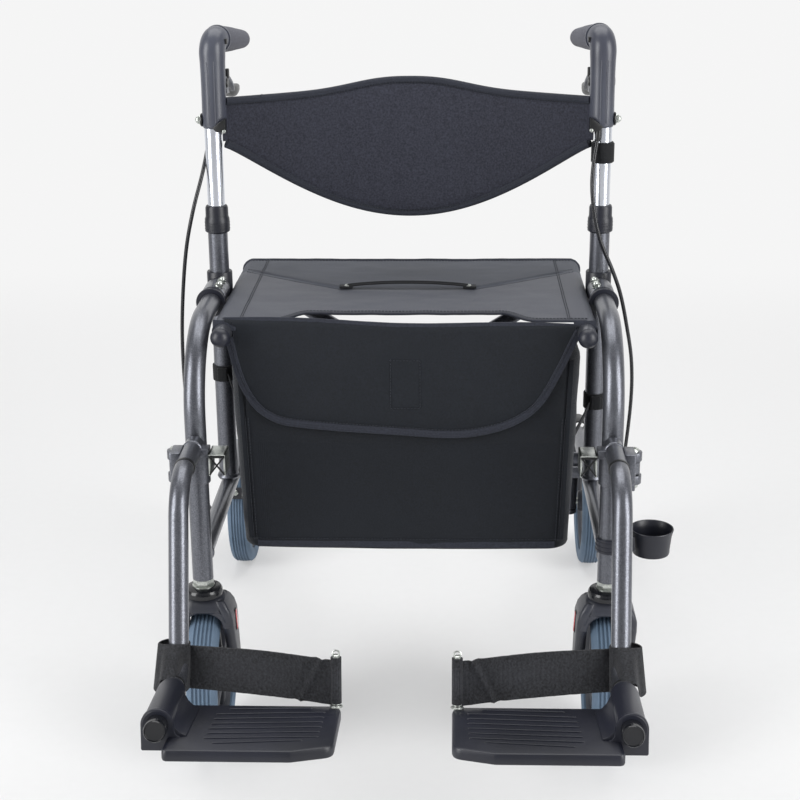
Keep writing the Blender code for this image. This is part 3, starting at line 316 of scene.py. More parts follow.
def ring_turned(profile, origin, along, steps=ROUND, side=None):
    """A closed profile of (radius, height), turned into a ring."""
    matrix = basis(origin, along, side)
    rings = []
    for turn in [2 * math.pi * i / steps for i in range(steps)]:
        c, s = math.cos(turn), math.sin(turn)
        rings.append([matrix @ Vector((r * c, r * s, h)) for r, h in profile])
    return ring_skin(rings, loop=True)


def plate(outline, base, height, matrix=None, rim=0.0):
    """A flat outline with a height and a softened rim."""
    matrix = matrix or Matrix()
    levels = [(base, rim), (base + rim * 0.3, rim * 0.3), (base + rim, 0.0)]
    levels += [(base + height - rim, 0.0), (base + height - rim * 0.3, rim * 0.3), (base + height, rim)]
    if rim == 0:
        levels = [(base, 0.0), (base + height, 0.0)]
    area = sum(a[0] * b[1] - b[0] * a[1] for a, b in zip(outline, outline[1:] + outline[:1]))
    if area < 0:
        outline = outline[::-1]
    rings = []
    for w, inset in levels:
        ring = []
        for i, (x, y) in enumerate(outline):
            before = Vector(outline[i - 1])
            after = Vector(outline[(i + 1) % len(outline)])
            run = after - before
            inward = Vector((-run.y, run.x)).normalized()
            ring.append(matrix @ Vector((x + inward.x * inset, y + inward.y * inset, w)))
        rings.append(ring)
    return ring_skin(rings)


def hexagon(flats):
    radius = flats / math.sqrt(3)
    return [
        (radius * math.cos(math.radians(a)), radius * math.sin(math.radians(a))) for a in range(0, 360, 60)
    ]


def slab(low, high, rim=0.0006, steps=2):
    """A straight-sided block between two corners, its upright edges rounded."""
    centre = (Vector(low) + Vector(high)) / 2
    half = (Vector(high) - Vector(low)) / 2
    corner = min(rim * 2, half.x * 0.9, half.y * 0.9)
    outline = rounded_box(half.x, half.y, corner, steps)
    return plate(outline, -half.z, 2 * half.z, Matrix.Translation(centre), min(rim, half.z * 0.8))


def acorn_nut(origin, along, flats=0.01, rise=0.008):
    """A hexagon nut with a domed cap, on a washer."""
    matrix = basis(origin, along)
    washer = turned([(flats * 0.68, 0), (flats * 0.68, 0.001), (flats * 0.3, 0.0011)], origin, along, 28)
    body = plate(hexagon(flats), 0.001, rise * 0.45, matrix, 0.0004)
    dome = dome_profile(flats * 0.46, 0.001 + rise * 0.4, rise * 0.55, 6)
    return joined([washer, body, turned(dome, origin, along, 24)])


def bolt_head(origin, along, radius=0.0048, rise=0.003):
    """A round domed screw head with a hexagon socket."""
    profile = [(radius, 0), (radius, rise * 0.45), (radius * 0.9, rise * 0.8), (radius * 0.7, rise)]
    profile += [(radius * 0.45, rise), (radius * 0.42, rise * 0.4), (0, rise * 0.35)]
    return turned(profile, origin, along, 24)


def hex_nut(origin, along, flats=0.01, rise=0.005):
    matrix = basis(origin, along)
    bore = turned(
        [(flats * 0.3, rise), (flats * 0.3, rise + 0.0012), (flats * 0.2, rise + 0.0016)], origin, along, 20
    )
    return joined([plate(hexagon(flats), 0, rise, matrix, 0.0005), bore])


def linear(hex_colour):
    """An sRGB hex colour as linear red, green, blue and alpha."""
    out = []
    for start in (1, 3, 5):
        value = int(hex_colour[start : start + 2], 16) / 255
        out.append(value / 12.92 if value <= 0.04045 else ((value + 0.055) / 1.055) ** 2.4)
    return (*out, 1.0)


def add_node(tree, kind, inputs=None, **settings):
    """Adds one node. An input is a number, a colour or another node's output."""
    node = tree.nodes.new(kind)
    for key, value in settings.items():
        setattr(node, key, value)
    for key, value in (inputs or {}).items():
        if isinstance(value, bpy.types.NodeSocket):
            tree.links.new(value, node.inputs[key])
        else:
            node.inputs[key].default_value = value
    return node


def finish_of(name, **constants):
    """A new material, its tree, its shader and the Object coordinates."""
    material = bpy.data.materials.new(name)
    material.use_nodes = True
    tree = material.node_tree
    shader = tree.nodes["Principled BSDF"]
    for key, value in constants.items():
        shader.inputs[key.replace("_", " ")].default_value = value
    place = add_node(tree, "ShaderNodeTexCoord")
    return material, tree, shader, place


def mottle(tree, place, scale, dark, light, detail=3.0, low=0.35, high=0.65):
    """Two tones of one colour in soft patches."""
    cloud = add_node(tree, "ShaderNodeTexNoise", {"Vector": place, "Scale": scale, "Detail": detail})
    share = level_of(tree, cloud.outputs["Fac"], from_min=low, from_max=high)
    return colour_mix(tree, share, linear(dark), linear(light))


def colour_mix(tree, share, a, b):
    """A mix of two colours or colour outputs by a share."""
    mix = tree.nodes.new("ShaderNodeMix")
    mix.data_type = "RGBA"
    for socket, value in ((mix.inputs[0], share), (mix.inputs[6], a), (mix.inputs[7], b)):
        if isinstance(value, bpy.types.NodeSocket):
            tree.links.new(value, socket)
        else:
            socket.default_value = value
    return mix.outputs[2]


def roughness_from(tree, shader, value, low, high):
    tree.links.new(level_of(tree, value, to_min=low, to_max=high), shader.inputs["Roughness"])


def relief(tree, shader, height, strength, depth):
    bump = add_node(tree, "ShaderNodeBump", {"Height": height, "Strength": strength, "Distance": depth})
    tree.links.new(bump.outputs["Normal"], shader.inputs["Normal"])


def noise_in(tree, place, scale, detail=2.0):
    kind = "ShaderNodeTexNoise"
    return add_node(
        tree, kind, {"Vector": place.outputs["Object"], "Scale": scale, "Detail": detail}
    ).outputs["Fac"]


def cells_in(tree, place, scale):
    return add_node(tree, "ShaderNodeTexVoronoi", {"Vector": place.outputs["Object"], "Scale": scale})


def level_of(tree, value, **limits):
    named = {key.replace("_", " ").title(): limit for key, limit in limits.items()}
    return add_node(tree, "ShaderNodeMapRange", {"Value": value, **named}).outputs["Result"]


def gunmetal_enamel():
    # Aluminium tube with a baked gunmetal enamel. The fine flake breaks up its highlights.
    material, tree, shader, place = finish_of(
        "gunmetal_flake_enamel", Metallic=0.82, Coat_Weight=0.25, Coat_Roughness=0.22
    )
    colour = mottle(tree, place.outputs["Object"], 9.0, "#515359", "#5a5c62")
    flake = cells_in(tree, place, 1 / 0.0007)
    sparkle = level_of(tree, flake.outputs["Color"], from_min=0.25, from_max=0.9)
    glint = colour_mix(tree, sparkle, colour, linear("#8d8f98"))
    tree.links.new(colour_mix(tree, 0.5, colour, glint), shader.inputs["Base Color"])
    roughness_from(tree, shader, flake.outputs["Distance"], 0.28, 0.4)
    relief(tree, shader, flake.outputs["Distance"], 0.06, 0.0002)
    return material


def bright_anodised():
    # Drawn aluminium tube, anodised clear: fine lines along the tube and a cool silver tone.
    material, tree, shader, place = finish_of("drawn_anodised_aluminium", Metallic=1.0)
    lines = add_node(
        tree, "ShaderNodeMapping",
        {"Vector": place.outputs["Object"], "Scale": (1 / 0.0006, 1 / 0.0006, 1 / 0.06)},
    )
    grain = add_node(
        tree, "ShaderNodeTexNoise", {"Vector": lines.outputs["Vector"], "Scale": 1.0, "Detail": 2.0}
    )
    tone = colour_mix(tree, grain.outputs["Fac"], linear("#d3d7e0"), linear("#e8ebf2"))
    tree.links.new(tone, shader.inputs["Base Color"])
    roughness_from(tree, shader, grain.outputs["Fac"], 0.17, 0.29)
    relief(tree, shader, grain.outputs["Fac"], 0.05, 0.0001)
    return material


def zinc_plate():
    # Zinc-plated steel: a bluish spangle with a little green, soft highlights.
    material, tree, shader, place = finish_of("zinc_plated_steel", Metallic=1.0)
    spangle = cells_in(tree, place, 1 / 0.0018)
    tone = colour_mix(tree, spangle.outputs["Distance"], linear("#b4b9b6"), linear("#d3d6cf"))
    tree.links.new(tone, shader.inputs["Base Color"])
    grain = noise_in(tree, place, 900.0, 3.0)
    roughness_from(tree, shader, grain, 0.2, 0.4)
    relief(tree, shader, grain, 0.08, 0.0001)
    return material


def moulded_nylon(name, dark, light, low, high, grain_mm=0.6, depth=0.00006):
    # Glass-filled nylon from an etched mould: fine leather-like grain, satin highlights.
    material, tree, shader, place = finish_of(name)
    colour = mottle(tree, place.outputs["Object"], 14.0, dark, light)
    tree.links.new(colour, shader.inputs["Base Color"])
    scale = 1000 / grain_mm
    grain = cells_in(tree, place, scale)
    fine = noise_in(tree, place, scale * 0.6, 4.0)
    roughness_from(tree, shader, fine, low, high)
    relief(tree, shader, grain.outputs["Distance"], 0.4, depth)
    return material


def speckled_rubber():
    # Soft moulded grip rubber with ground grey crumb in it.
    material, tree, shader, place = finish_of("speckled_grip_rubber")
    crumb = cells_in(tree, place, 1 / 0.0022)
    speck = level_of(tree, crumb.outputs["Distance"], from_min=0.16, from_max=0.3, to_min=1.0, to_max=0.0)
    fine = noise_in(tree, place, 700.0, 3.0)
    tone = colour_mix(tree, fine, linear("#3a3b43"), linear("#4c4d57"))
    tree.links.new(colour_mix(tree, speck, tone, linear("#6d6f7a")), shader.inputs["Base Color"])
    roughness_from(tree, shader, fine, 0.5, 0.75)
    relief(tree, shader, fine, 0.25, 0.0003)
    return material


def plain_rubber(name, dark, light, low, high):
    # Cured rubber: matt, with a faint bloom and mould texture.
    material, tree, shader, place = finish_of(name)
    colour = mottle(tree, place.outputs["Object"], 24.0, dark, light, 5.0)
    fine = noise_in(tree, place, 1100.0, 3.0)
    tree.links.new(colour, shader.inputs["Base Color"])
    roughness_from(tree, shader, fine, low, high)
    relief(tree, shader, fine, 0.12, 0.0002)
    return material


def weave_height(tree, place, across_mm, along_mm, turn=0.0):
    """Two sets of threads over and under each other, from a piece's own coordinates in metres."""
    turned_place = add_node(
        tree, "ShaderNodeMapping", {"Vector": place, "Rotation": (0.0, 0.0, math.radians(turn))}
    )
    threads = []
    for direction, pitch in (("X", across_mm), ("Y", along_mm)):
        wave = add_node(
            tree, "ShaderNodeTexWave",
            {"Vector": turned_place.outputs["Vector"], "Scale": 2 * math.pi / 20 / (pitch / 1000)},
            bands_direction=direction,
        )
        threads.append(wave.outputs["Fac"])
    both = add_node(tree, "ShaderNodeMath", {0: threads[0], 1: threads[1]}, operation="MULTIPLY")
    return both.outputs["Value"]


def woven_cloth(
    name, dark, light, coordinates, across_mm, along_mm, turn=0.0, sheen=0.06, rough=(0.62, 0.9),
    depth=0.0004, uneven=0.35, worn=None, strength=0.5, gloss=0.25,
):
    # Woven polyester: raised threads at the given pitch, painted shade in the dips between them, uneven dye
    # and a soft sheen.
    material, tree, shader, place = finish_of(
        name, Sheen_Weight=sheen, Sheen_Roughness=0.5, Specular_IOR_Level=gloss
    )
    if coordinates == "own":
        own = add_node(tree, "ShaderNodeUVMap", uv_map="maker").outputs["UV"]
    else:
        own = place.outputs["Object"]
    height = weave_height(tree, own, across_mm, along_mm, turn)
    slub = noise_in(tree, place, 420.0, 3.0)
    dye = mottle(tree, place.outputs["Object"], 7.0, dark, light, 4.0)
    # The dips between the threads take the dark colour: painted shade in the weave.
    weave_tone_with_painted_dip_shade = colour_mix(tree, height, linear(dark), dye)
    heather = level_of(tree, slub, from_min=0.3, from_max=0.75, to_max=uneven)
    colour = colour_mix(tree, heather, weave_tone_with_painted_dip_shade, linear(worn or light))
    tree.links.new(colour, shader.inputs["Base Color"])
    roughness_from(tree, shader, slub, *rough)
    both = add_node(tree, "ShaderNodeMath", {0: height, 1: slub}, operation="ADD")
    relief(tree, shader, both.outputs["Value"], strength, depth)
    return material


def cable_pvc():
    # Extruded PVC cable housing, black and glossy.
    material, tree, shader, place = finish_of("glossy_black_pvc")
    fine = noise_in(tree, place, 260.0)
    tree.links.new(colour_mix(tree, fine, linear("#121316"), linear("#1d1e22")), shader.inputs["Base Color"])
    roughness_from(tree, shader, fine, 0.2, 0.34)
    return material


def red_reflector():
    # Moulded acrylic reflector: deep red, small prisms under a smooth face, each prism painted darker at its
    # centre and brighter at its rim: painted shade and painted highlight on the prism faces.
    material, tree, shader, place = finish_of("red_acrylic_reflector", Coat_Weight=0.8)
    prism = cells_in(tree, place, 1 / 0.0024)
    tone = colour_mix(tree, prism.outputs["Distance"], linear("#8f1720"), linear("#d8333a"))
    tree.links.new(tone, shader.inputs["Base Color"])
    roughness_from(tree, shader, prism.outputs["Distance"], 0.12, 0.3)
    return material


ENAMEL = gunmetal_enamel()
SILVER = bright_anodised()
ZINC = zinc_plate()
CHARCOAL = moulded_nylon("moulded_charcoal_nylon", "#14161f", "#1b1d28", 0.32, 0.48)
FORK_NYLON = moulded_nylon("moulded_fork_nylon", "#25272e", "#2f3139", 0.3, 0.45, 0.8, 0.00005)
HANDLE_NYLON = moulded_nylon("satin_handle_nylon", "#3c3e48", "#454852", 0.26, 0.38, 0.9, 0.00002)
GLOSS_NYLON = moulded_nylon("polished_black_nylon", "#0e0f12", "#16171b", 0.12, 0.26, 0.9, 0.00002)
WHEEL_NYLON = moulded_nylon("moulded_wheel_nylon", "#2c2e34", "#383a41", 0.4, 0.6, 0.8, 0.00006)
BLACK_ENAMEL = moulded_nylon("black_powder_coat", "#0a0b0c", "#121315", 0.28, 0.45, 0.9, 0.00005)
GRIP = speckled_rubber()
TYRE = plain_rubber("blue_grey_tyre_rubber", "#4f6275", "#5e7185", 0.55, 0.8)
BRAKE_RUBBER = plain_rubber("dark_brake_rubber", "#1e1f23", "#2a2b30", 0.55, 0.8)
SEAT_CLOTH = woven_cloth(
    "ribbed_seat_textile", "#2b2e36", "#3c404a", "own", 1.6, 2.4, 32.0, worn="#555a66", gloss=0.45
)
SEAT_FRONT_CLOTH = woven_cloth(
    "smooth_seat_textile", "#2c2f39", "#3d414d", "own", 1.2, 1.2, 0.0, worn="#4b505d", rough=(0.45, 0.7),
    gloss=0.6,
)
BACK_CLOTH = woven_cloth(
    "heathered_backrest_textile", "#1f2028", "#2e303a", "own", 1.1, 1.1, 0.0, worn="#4a4c59", uneven=0.5,
    gloss=0.2,
)
BAG_CLOTH = woven_cloth(
    "oxford_bag_nylon", "#101318", "#191d24", "own", 0.9, 0.9, 0.0, 0.03, (0.42, 0.66), 0.00025,
    worn="#232831", gloss=0.22,
)
BINDING = woven_cloth("grosgrain_binding", "#1f2129", "#2c2f38", "own", 3.0, 1.3, worn="#3f434f")
WEBBING = woven_cloth(
    "ribbed_black_webbing", "#0b0c0e", "#16171a", "own", 2.0, 1.8, depth=0.0005, worn="#27292e"
)
# The dips between its ribs take the near-black colour: painted shade on the ribs.
HEEL_WEBBING = woven_cloth(
    "ribbed_heel_webbing", "#0c0c0e", "#3c3d43", "own", 1.5, 50.0, depth=0.001, worn="#56585e", uneven=0.35,
    strength=0.8,
)
THREAD = woven_cloth("bonded_thread", "#23252b", "#30333b", "object", 0.6, 0.6, worn="#3f434d")
CABLE = cable_pvc()
REFLECTOR = red_reflector()


def mesh_from(name, shape, material, angle=35):
    mesh = bpy.data.meshes.new(name)
    mesh.from_pydata([tuple(Vector(p) + MIDDLE_SHIFT) for p in shape.points], [], shape.faces)
    layer = mesh.uv_layers.new(name="maker")
    layer.uv.foreach_set("vector", [v for corners in shape.corners for c in corners for v in c])
    work = bmesh.new()
    work.from_mesh(mesh)
    bmesh.ops.remove_doubles(work, verts=work.verts, dist=1e-5)
    bmesh.ops.recalc_face_normals(work, faces=work.faces)
    work.to_mesh(mesh)
    work.free()
    mesh.polygons.foreach_set("use_smooth", [True] * len(mesh.polygons))
    mesh.set_sharp_from_angle(angle=math.radians(angle))
    mesh.materials.append(material)
    return mesh


def piece(name, shape, material, body, stands_for=(), angle=35):
    """A finished piece that rides on a body. Without a body it is left unattached."""
    obj = bpy.data.objects.new(name, mesh_from(name, shape, material, angle))
    bpy.context.scene.collection.objects.link(obj)
    if body:
        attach(obj, body)
    if stands_for:
        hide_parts(*stands_for)
    return obj


def pair(name, shape, material, body, stands_for=(), angle=35):
    """The right piece and its mirror image on the left."""
    out = []
    for side, form in (("right", shape), ("left", shape.mirrored())):
        nodes = [f"{side}_{node}" for node in stands_for]
        rider = f"{side}_{body}" if body else None
        out.append(piece(f"{side}_{name}", form, material, rider, nodes, angle))
    return out


def stage_piece(name, shape, material):
    obj = bpy.data.objects.new(name, mesh_from(name, shape, material, 30))
    bpy.context.scene.collection.objects.link(obj)
    return obj


def studio_paper(shown, near_glow_share, far_glow_share):
    # Matt pale paper. To the camera and in reflections most of its tone is a glow, and the rest takes the
    # light, so that the walker's soft shadow stays on it. The glow's share grows from near to far, so the
    # near floor is painted darker: painted shade.
    material, tree, shader, place = finish_of("studio_paper", Roughness=0.9, Specular_IOR_Level=0.05)
    grain = noise_in(tree, place, 60.0)
    tone = colour_mix(tree, grain, linear("#dedede"), linear("#e2e2e2"))
    tree.links.new(tone, shader.inputs["Base Color"])
    rays = add_node(tree, "ShaderNodeLightPath")
    seen = rays.outputs["Is Camera Ray"]
    for kind in ("Is Glossy Ray", "Is Transmission Ray"):
        seen = add_node(
            tree, "ShaderNodeMath", {0: seen, 1: rays.outputs[kind]}, operation="MAXIMUM"
        ).outputs[0]
    glow = add_node(tree, "ShaderNodeEmission", {"Color": linear(shown), "Strength": 1.0})
    depth = add_node(tree, "ShaderNodeSeparateXYZ", {"Vector": place.outputs["Object"]})
    level = level_of(
        tree, depth.outputs["Y"], from_min=0.5, from_max=2.3, to_min=near_glow_share, to_max=far_glow_share
    )
    share = add_node(tree, "ShaderNodeMath", {0: seen, 1: level}, operation="MULTIPLY")
    both = add_node(
        tree, "ShaderNodeMixShader", {0: share.outputs[0], 1: shader.outputs[0], 2: glow.outputs[0]}
    )
    out = tree.nodes["Material Output"]
    tree.links.new(both.outputs[0], out.inputs["Surface"])
    return material


FOCAL_PIXELS = 1570
PICTURE_WIDTH = 800


def set_camera():
    """The photograph's viewpoint: 18.5 degrees down and 2.0 degrees to the side."""
    data = bpy.data.cameras.new("photo_camera")
    data.sensor_width = 36.0
    data.lens = FOCAL_PIXELS / PICTURE_WIDTH * data.sensor_width
    camera = bpy.data.objects.new("photo_camera", data)
    bpy.context.scene.collection.objects.link(camera)
    yaw, pitch, roll = 0.0355, math.radians(18.54), 0.0084
    ahead = Vector((-math.sin(yaw) * math.cos(pitch), math.cos(yaw) * math.cos(pitch), -math.sin(pitch)))
    right = Vector((math.cos(yaw), math.sin(yaw), 0.0))
    top = right.cross(ahead)
    right, top = (right - top * roll).normalized(), (top + right * roll).normalized()
    place = Vector((0.0585, -2.048, 1.0614)) + MIDDLE_SHIFT
    camera.matrix_world = Matrix.Translation(place) @ Matrix((right, top, -ahead)).transposed().to_4x4()
    bpy.context.scene.camera = camera


WORLD_LEVEL = 0.42
LAMP_POWER = 62.0
TOP_POWER = 34.0


def softbox(name, place, target, width, height, power):
    data = bpy.data.lights.new(name, "AREA")
    data.shape = "RECTANGLE"
    data.size = width
    data.size_y = height
    data.energy = power
    lamp = bpy.data.objects.new(name, data)
    bpy.context.scene.collection.objects.link(lamp)
    place = Vector(place) + MIDDLE_SHIFT
    ahead = (Vector(target) + MIDDLE_SHIFT - place).normalized()
    lamp.matrix_world = Matrix.Translation(place) @ ahead.to_track_quat("-Z", "Y").to_matrix().to_4x4()


def set_studio():
    world = bpy.data.worlds.new("studio_air")
    bpy.context.scene.world = world
    world.use_nodes = True
    sky = world.node_tree.nodes["Background"]
    sky.inputs["Color"].default_value = linear("#f2f3f5")
    sky.inputs["Strength"].default_value = WORLD_LEVEL
    softbox("left_softbox", (-2.1, -1.5, 1.3), (0, 0, 0.45), 1.3, 2.3, LAMP_POWER)
    softbox("right_softbox", (2.1, -1.5, 1.3), (0, 0, 0.45), 1.3, 2.3, LAMP_POWER)
    softbox("top_softbox", (0.0, 0.5, 2.6), (0, 0, 0.3), 2.4, 1.6, TOP_POWER)
    floor = Shape()
    rows = [(-6.0, 0.0), (1.9, 0.0)]
    rows += [(1.9 + 1.2 * math.sin(t), 1.2 - 1.2 * math.cos(t)) for t in spread(0.1, math.pi / 2, 14)]
    rows += [(3.1, 4.5)]
    count = len(rows)
    for y, z in rows:
        floor.points += [Vector((-6, y, z)), Vector((6, y, z))]
    for i in range(count - 1):
        floor.add_face([2 * i, 2 * i + 1, 2 * i + 3, 2 * i + 2])
    stage_piece("studio_floor", floor, studio_paper("#f6f6f6", 0.38, 0.97))


set_camera()
set_studio()
bpy.context.scene.view_settings.view_transform = "Standard"


def bolt_through(start, end, radius=0.004, head=0.0055, rise=0.0028):
    """A pin with a round head at its start and a nut at its end."""
    start, end = Vector(start), Vector(end)
    along = (end - start).normalized()
    pin = turned([(radius, 0.0), (radius, (end - start).length)], start, along, 20)
    return joined([pin, bolt_head(start, -along, head, rise), hex_nut(end, along, head * 1.7, rise * 1.4)])


def make_side_tubes():
    leg = tube(
        [(FRAME_X, LEG_Y, 0.2446), (FRAME_X, LEG_Y, ARM_Z), (FRAME_X, -0.069, ARM_Z)], LEG_R, [0.1], 28
    )
    pair("front_leg_tube", leg, ENAMEL, "frame", ["front_leg"])
    wall = sleeve_profile(0.0114, 0.0127, 0.2834, 0.6227, 0.0006, 0.0006)
    post = ring_turned(wall, UPRIGHT_AXIS, UP)
    weld = turned(
        [(0.0111, 0.0), (0.0138, 0.0005), (0.0152, 0.0035), (0.0141, 0.0065), (0.0127, 0.0075)],
        (FRAME_X, UPRIGHT_Y, 0.2815), UP,
    )
    pair("upright_tube", joined([post, weld]), ENAMEL, "frame", ["upright"])
    rail = tube(
        [(FRAME_X, -0.289, RAIL_Z), (FRAME_X, 0.309, RAIL_Z), (FRAME_X, 0.309, 0.089)], RAIL_R, [0.19], 36
    )
    seam = ring_turned(
        [(0.0109, 0.0), (0.0125, 0.0006), (0.0133, 0.003), (0.0122, 0.0058), (0.0109, 0.0066)],
        (FRAME_X, -0.2885, RAIL_Z), (0, 1, 0),
    )
    lugs = []
    for y in (-0.0105, 0.0465):
        outline = [(FRAME_X, 0.264), (FRAME_X, 0.28), *arc((0.2167, RAIL_Z), 0.008, 90, 180, 8)]
        lugs.append(plate(outline, 0.0, 0.004, plane_y(y), 0.0005))
    pair("lower_rail_tube", joined([rail, seam, *lugs]), ENAMEL, "frame", ["lower_rail"])
    pin = bolt_through((BRACE_FOOT_X, -0.0098, RAIL_Z), (BRACE_FOOT_X, 0.0492, RAIL_Z), 0.004, 0.0062, 0.0025)
    pair("brace_foot_bolt", pin, ZINC, "frame", ())
    plug = turned(
        [(0.0098, 0.0), (0.0113, 0.0), (0.0114, 0.0012), (0.0106, 0.0032), (0.006, 0.0041), (0.0, 0.0043)],
        (FRAME_X, 0.309, 0.0893), -UP,
    )
    pair("rail_end_plug", plug, GLOSS_NYLON, "frame", ())
    axle = turned([(0.006, 0.0), (0.006, 0.0545)], (0.2405, REAR_AXLE.y, AXLE_Z), (1, 0, 0), 24)
    head = bolt_head((0.295, REAR_AXLE.y, AXLE_Z), (1, 0, 0), 0.0088, 0.0042)
    nut = acorn_nut((0.2362, REAR_AXLE.y, AXLE_Z), (-1, 0, 0), 0.013, 0.006)
    pair("rear_axle_bolt", joined([axle, head, nut]), ZINC, "frame", ())


def make_collar():
    profile = [
        (0.0116, 0.6234), (0.015, 0.6234), (0.016, 0.6244), (0.0161, 0.633), (0.0159, 0.6405),
        (0.015, 0.6425), (0.0147, 0.644), (0.0146, 0.6545), (0.0136, 0.6572), (0.0124, 0.6578),
        (0.0115, 0.657),
    ]
    body = ring_turned(profile, UPRIGHT_AXIS, UP, 48)
    ribs = []
    for z in (0.6275, 0.6315, 0.6355):
        ribs.append(ring_turned(ridge_profile(0.0158, 0.01635, z, 0.0007, 0.0004), UPRIGHT_AXIS, UP, 48))
    pair("height_collar", joined([body, *ribs]), CHARCOAL, "frame", ["collar"])


def arc_band(origin, along, side, inner, outer, start, end, low, high, steps=20):
    """Part of a ring about an axis, from one angle to another, with its own length."""
    matrix = basis(origin, along, side)
    rings = []
    for turn in spread(math.radians(start), math.radians(end), steps):
        c, s = math.cos(turn), math.sin(turn)
        profile = sleeve_profile(inner, outer, low, high, 0.0004, 0.0004)
        rings.append([matrix @ Vector((r * c, r * s, h)) for r, h in profile])
    return ring_skin(rings)


def make_saddle():
    arm = (FRAME_X, 0.0, ARM_Z)
    profile = [
        (0.0129, -0.142), (0.018, -0.142), (0.0186, -0.1412), (0.0185, -0.1378), (0.017, -0.1345),
        (0.016, -0.13), (0.0158, -0.074), (0.0152, -0.07), (0.0129, -0.0698),
    ]
    sleeve = ring_turned(profile, arm, (0, 1, 0), 48)
    rib = []
    for y in (-0.128, -0.078):
        rib.append(ring_turned(ridge_profile(0.0156, 0.0164, y, 0.0012, 0.0008), arm, (0, 1, 0), 48))
    hoop_profile = [
        (0.0129, 0.5352), (0.0157, 0.5352), (0.0165, 0.5362), (0.0165, 0.5698), (0.0157, 0.571),
        (0.0129, 0.571),
    ]
    hoop = ring_turned(hoop_profile, UPRIGHT_AXIS, UP, 48)
    neck = plate(
        rounded_box(0.0098, 0.011, 0.004), -0.0135, 0.027, Matrix.Translation((FRAME_X, -0.0745, ARM_Z)),
        0.001,
    )
    pair(
        "saddle_clamp_body", joined([sleeve, hoop, neck, *rib]), CHARCOAL, "frame", ["saddle_clamp"],
    )
    cover = arc_band(arm, (0, 1, 0), (0, 0, 1), 0.0157, 0.0168, -72, 72, -0.124, -0.082, 24)
    slot_rim = arc_band(arm, (0, 1, 0), (0, 0, 1), 0.0166, 0.0173, -58, -40, -0.109, -0.098, 6)
    pair("saddle_plate", joined([cover, slot_rim]), ENAMEL, "frame", ())
    nuts = []
    for y, lean in ((-0.115, -0.45), (-0.0925, -0.45)):
        out = Vector((math.sin(lean), 0, math.cos(lean)))
        nuts.append(acorn_nut(Vector((FRAME_X, y, ARM_Z)) + out * 0.0166, out, 0.0085, 0.0068))
    pair("saddle_nuts", joined(nuts), ZINC, "frame", ())


def make_pivot_bracket():
    ring = ring_turned(sleeve_profile(0.0128, 0.0152, 0.3707, 0.4133, 0.0006, 0.0008), LEG_AXIS, UP, 48)
    ears = []
    for z in (0.3722, 0.4007):
        outline = [(FRAME_X, -0.0095), (HINGE_X, -0.0105)]
        outline += arc((HINGE_X, 0.0), 0.0105, -90, 180, 12)[1:-1]
        outline += [(HINGE_X, 0.0105), (FRAME_X, 0.0095)]
        outline = [(x, LEG_Y + y) for x, y in outline]
        ears.append(plate(outline, z, 0.0111, None, 0.0008))
    pair("hinge_bracket", joined([ring, *ears]), ENAMEL, "frame", ["pivot_bracket"])
    bolt = bolt_through((HINGE_X, LEG_Y, 0.412), (HINGE_X, LEG_Y, 0.3716), 0.0042, 0.0068, 0.0036)
    pair("hinge_bolt", bolt, ZINC, "frame", ())


def make_caster_stem():
    cap = turned(
        [
            (0.006, 0.2225), (0.0215, 0.2225), (0.023, 0.2236), (0.0233, 0.2262), (0.023, 0.23),
            (0.0215, 0.2326), (0.016, 0.2342), (0.013, 0.2347), (0.006, 0.2347),
        ],
        LEG_AXIS, UP, 56,
    )
    pair("caster_bearing_cap", cap, GLOSS_NYLON, "frame", ["caster_stem"])
    nut = plate(hexagon(0.022), 0.2348, 0.0096, Matrix.Translation(LEG_AXIS), 0.0007)
    flange = turned([(0.0135, 0.2345), (0.0135, 0.2358), (0.012, 0.2362), (0.006, 0.2362)], LEG_AXIS, UP, 40)
    pair("caster_lock_nut", joined([nut, flange]), ZINC, "frame", ())


def make_brake_bracket():
    pivot_y, pivot_z = BRAKE_PIVOT
    outline = arc(BRAKE_PIVOT, 0.009, 180, 180, 12)
    outline += [(0.2, 0.248), (0.202, 0.27), (0.168, 0.272), (0.17, 0.248)]
    hanger = plate(outline, 0.0, 0.0028, plane_x(0.2585), 0.0005)
    wrap = ring_turned(
        sleeve_profile(0.0112, 0.0134, 0.168, 0.202, 0.0004, 0.0006), (FRAME_X, 0.0, RAIL_Z), (0, 1, 0), 40
    )
    pair(
        "brake_bracket_plate", joined([hanger, wrap]), BLACK_ENAMEL, "frame", ["brake_bracket"]
    )
    pivot = bolt_through((0.2655, pivot_y, pivot_z), (0.2582, pivot_y, pivot_z), 0.0032, 0.0058, 0.0026)
    clamp = bolt_head((0.2604, pivot_y, RAIL_Z), (1, 0, 0), 0.0048, 0.0026)
    anchor = turned(
        [(0.0034, 0.0), (0.0036, 0.0004), (0.0036, 0.008), (0.003, 0.009)], (0.26, 0.1725, 0.2118),
        (0, 0.5, 0.2), 20,
    )
    pair("brake_pivot_bolt", joined([pivot, clamp, anchor]), ZINC, "frame", ())


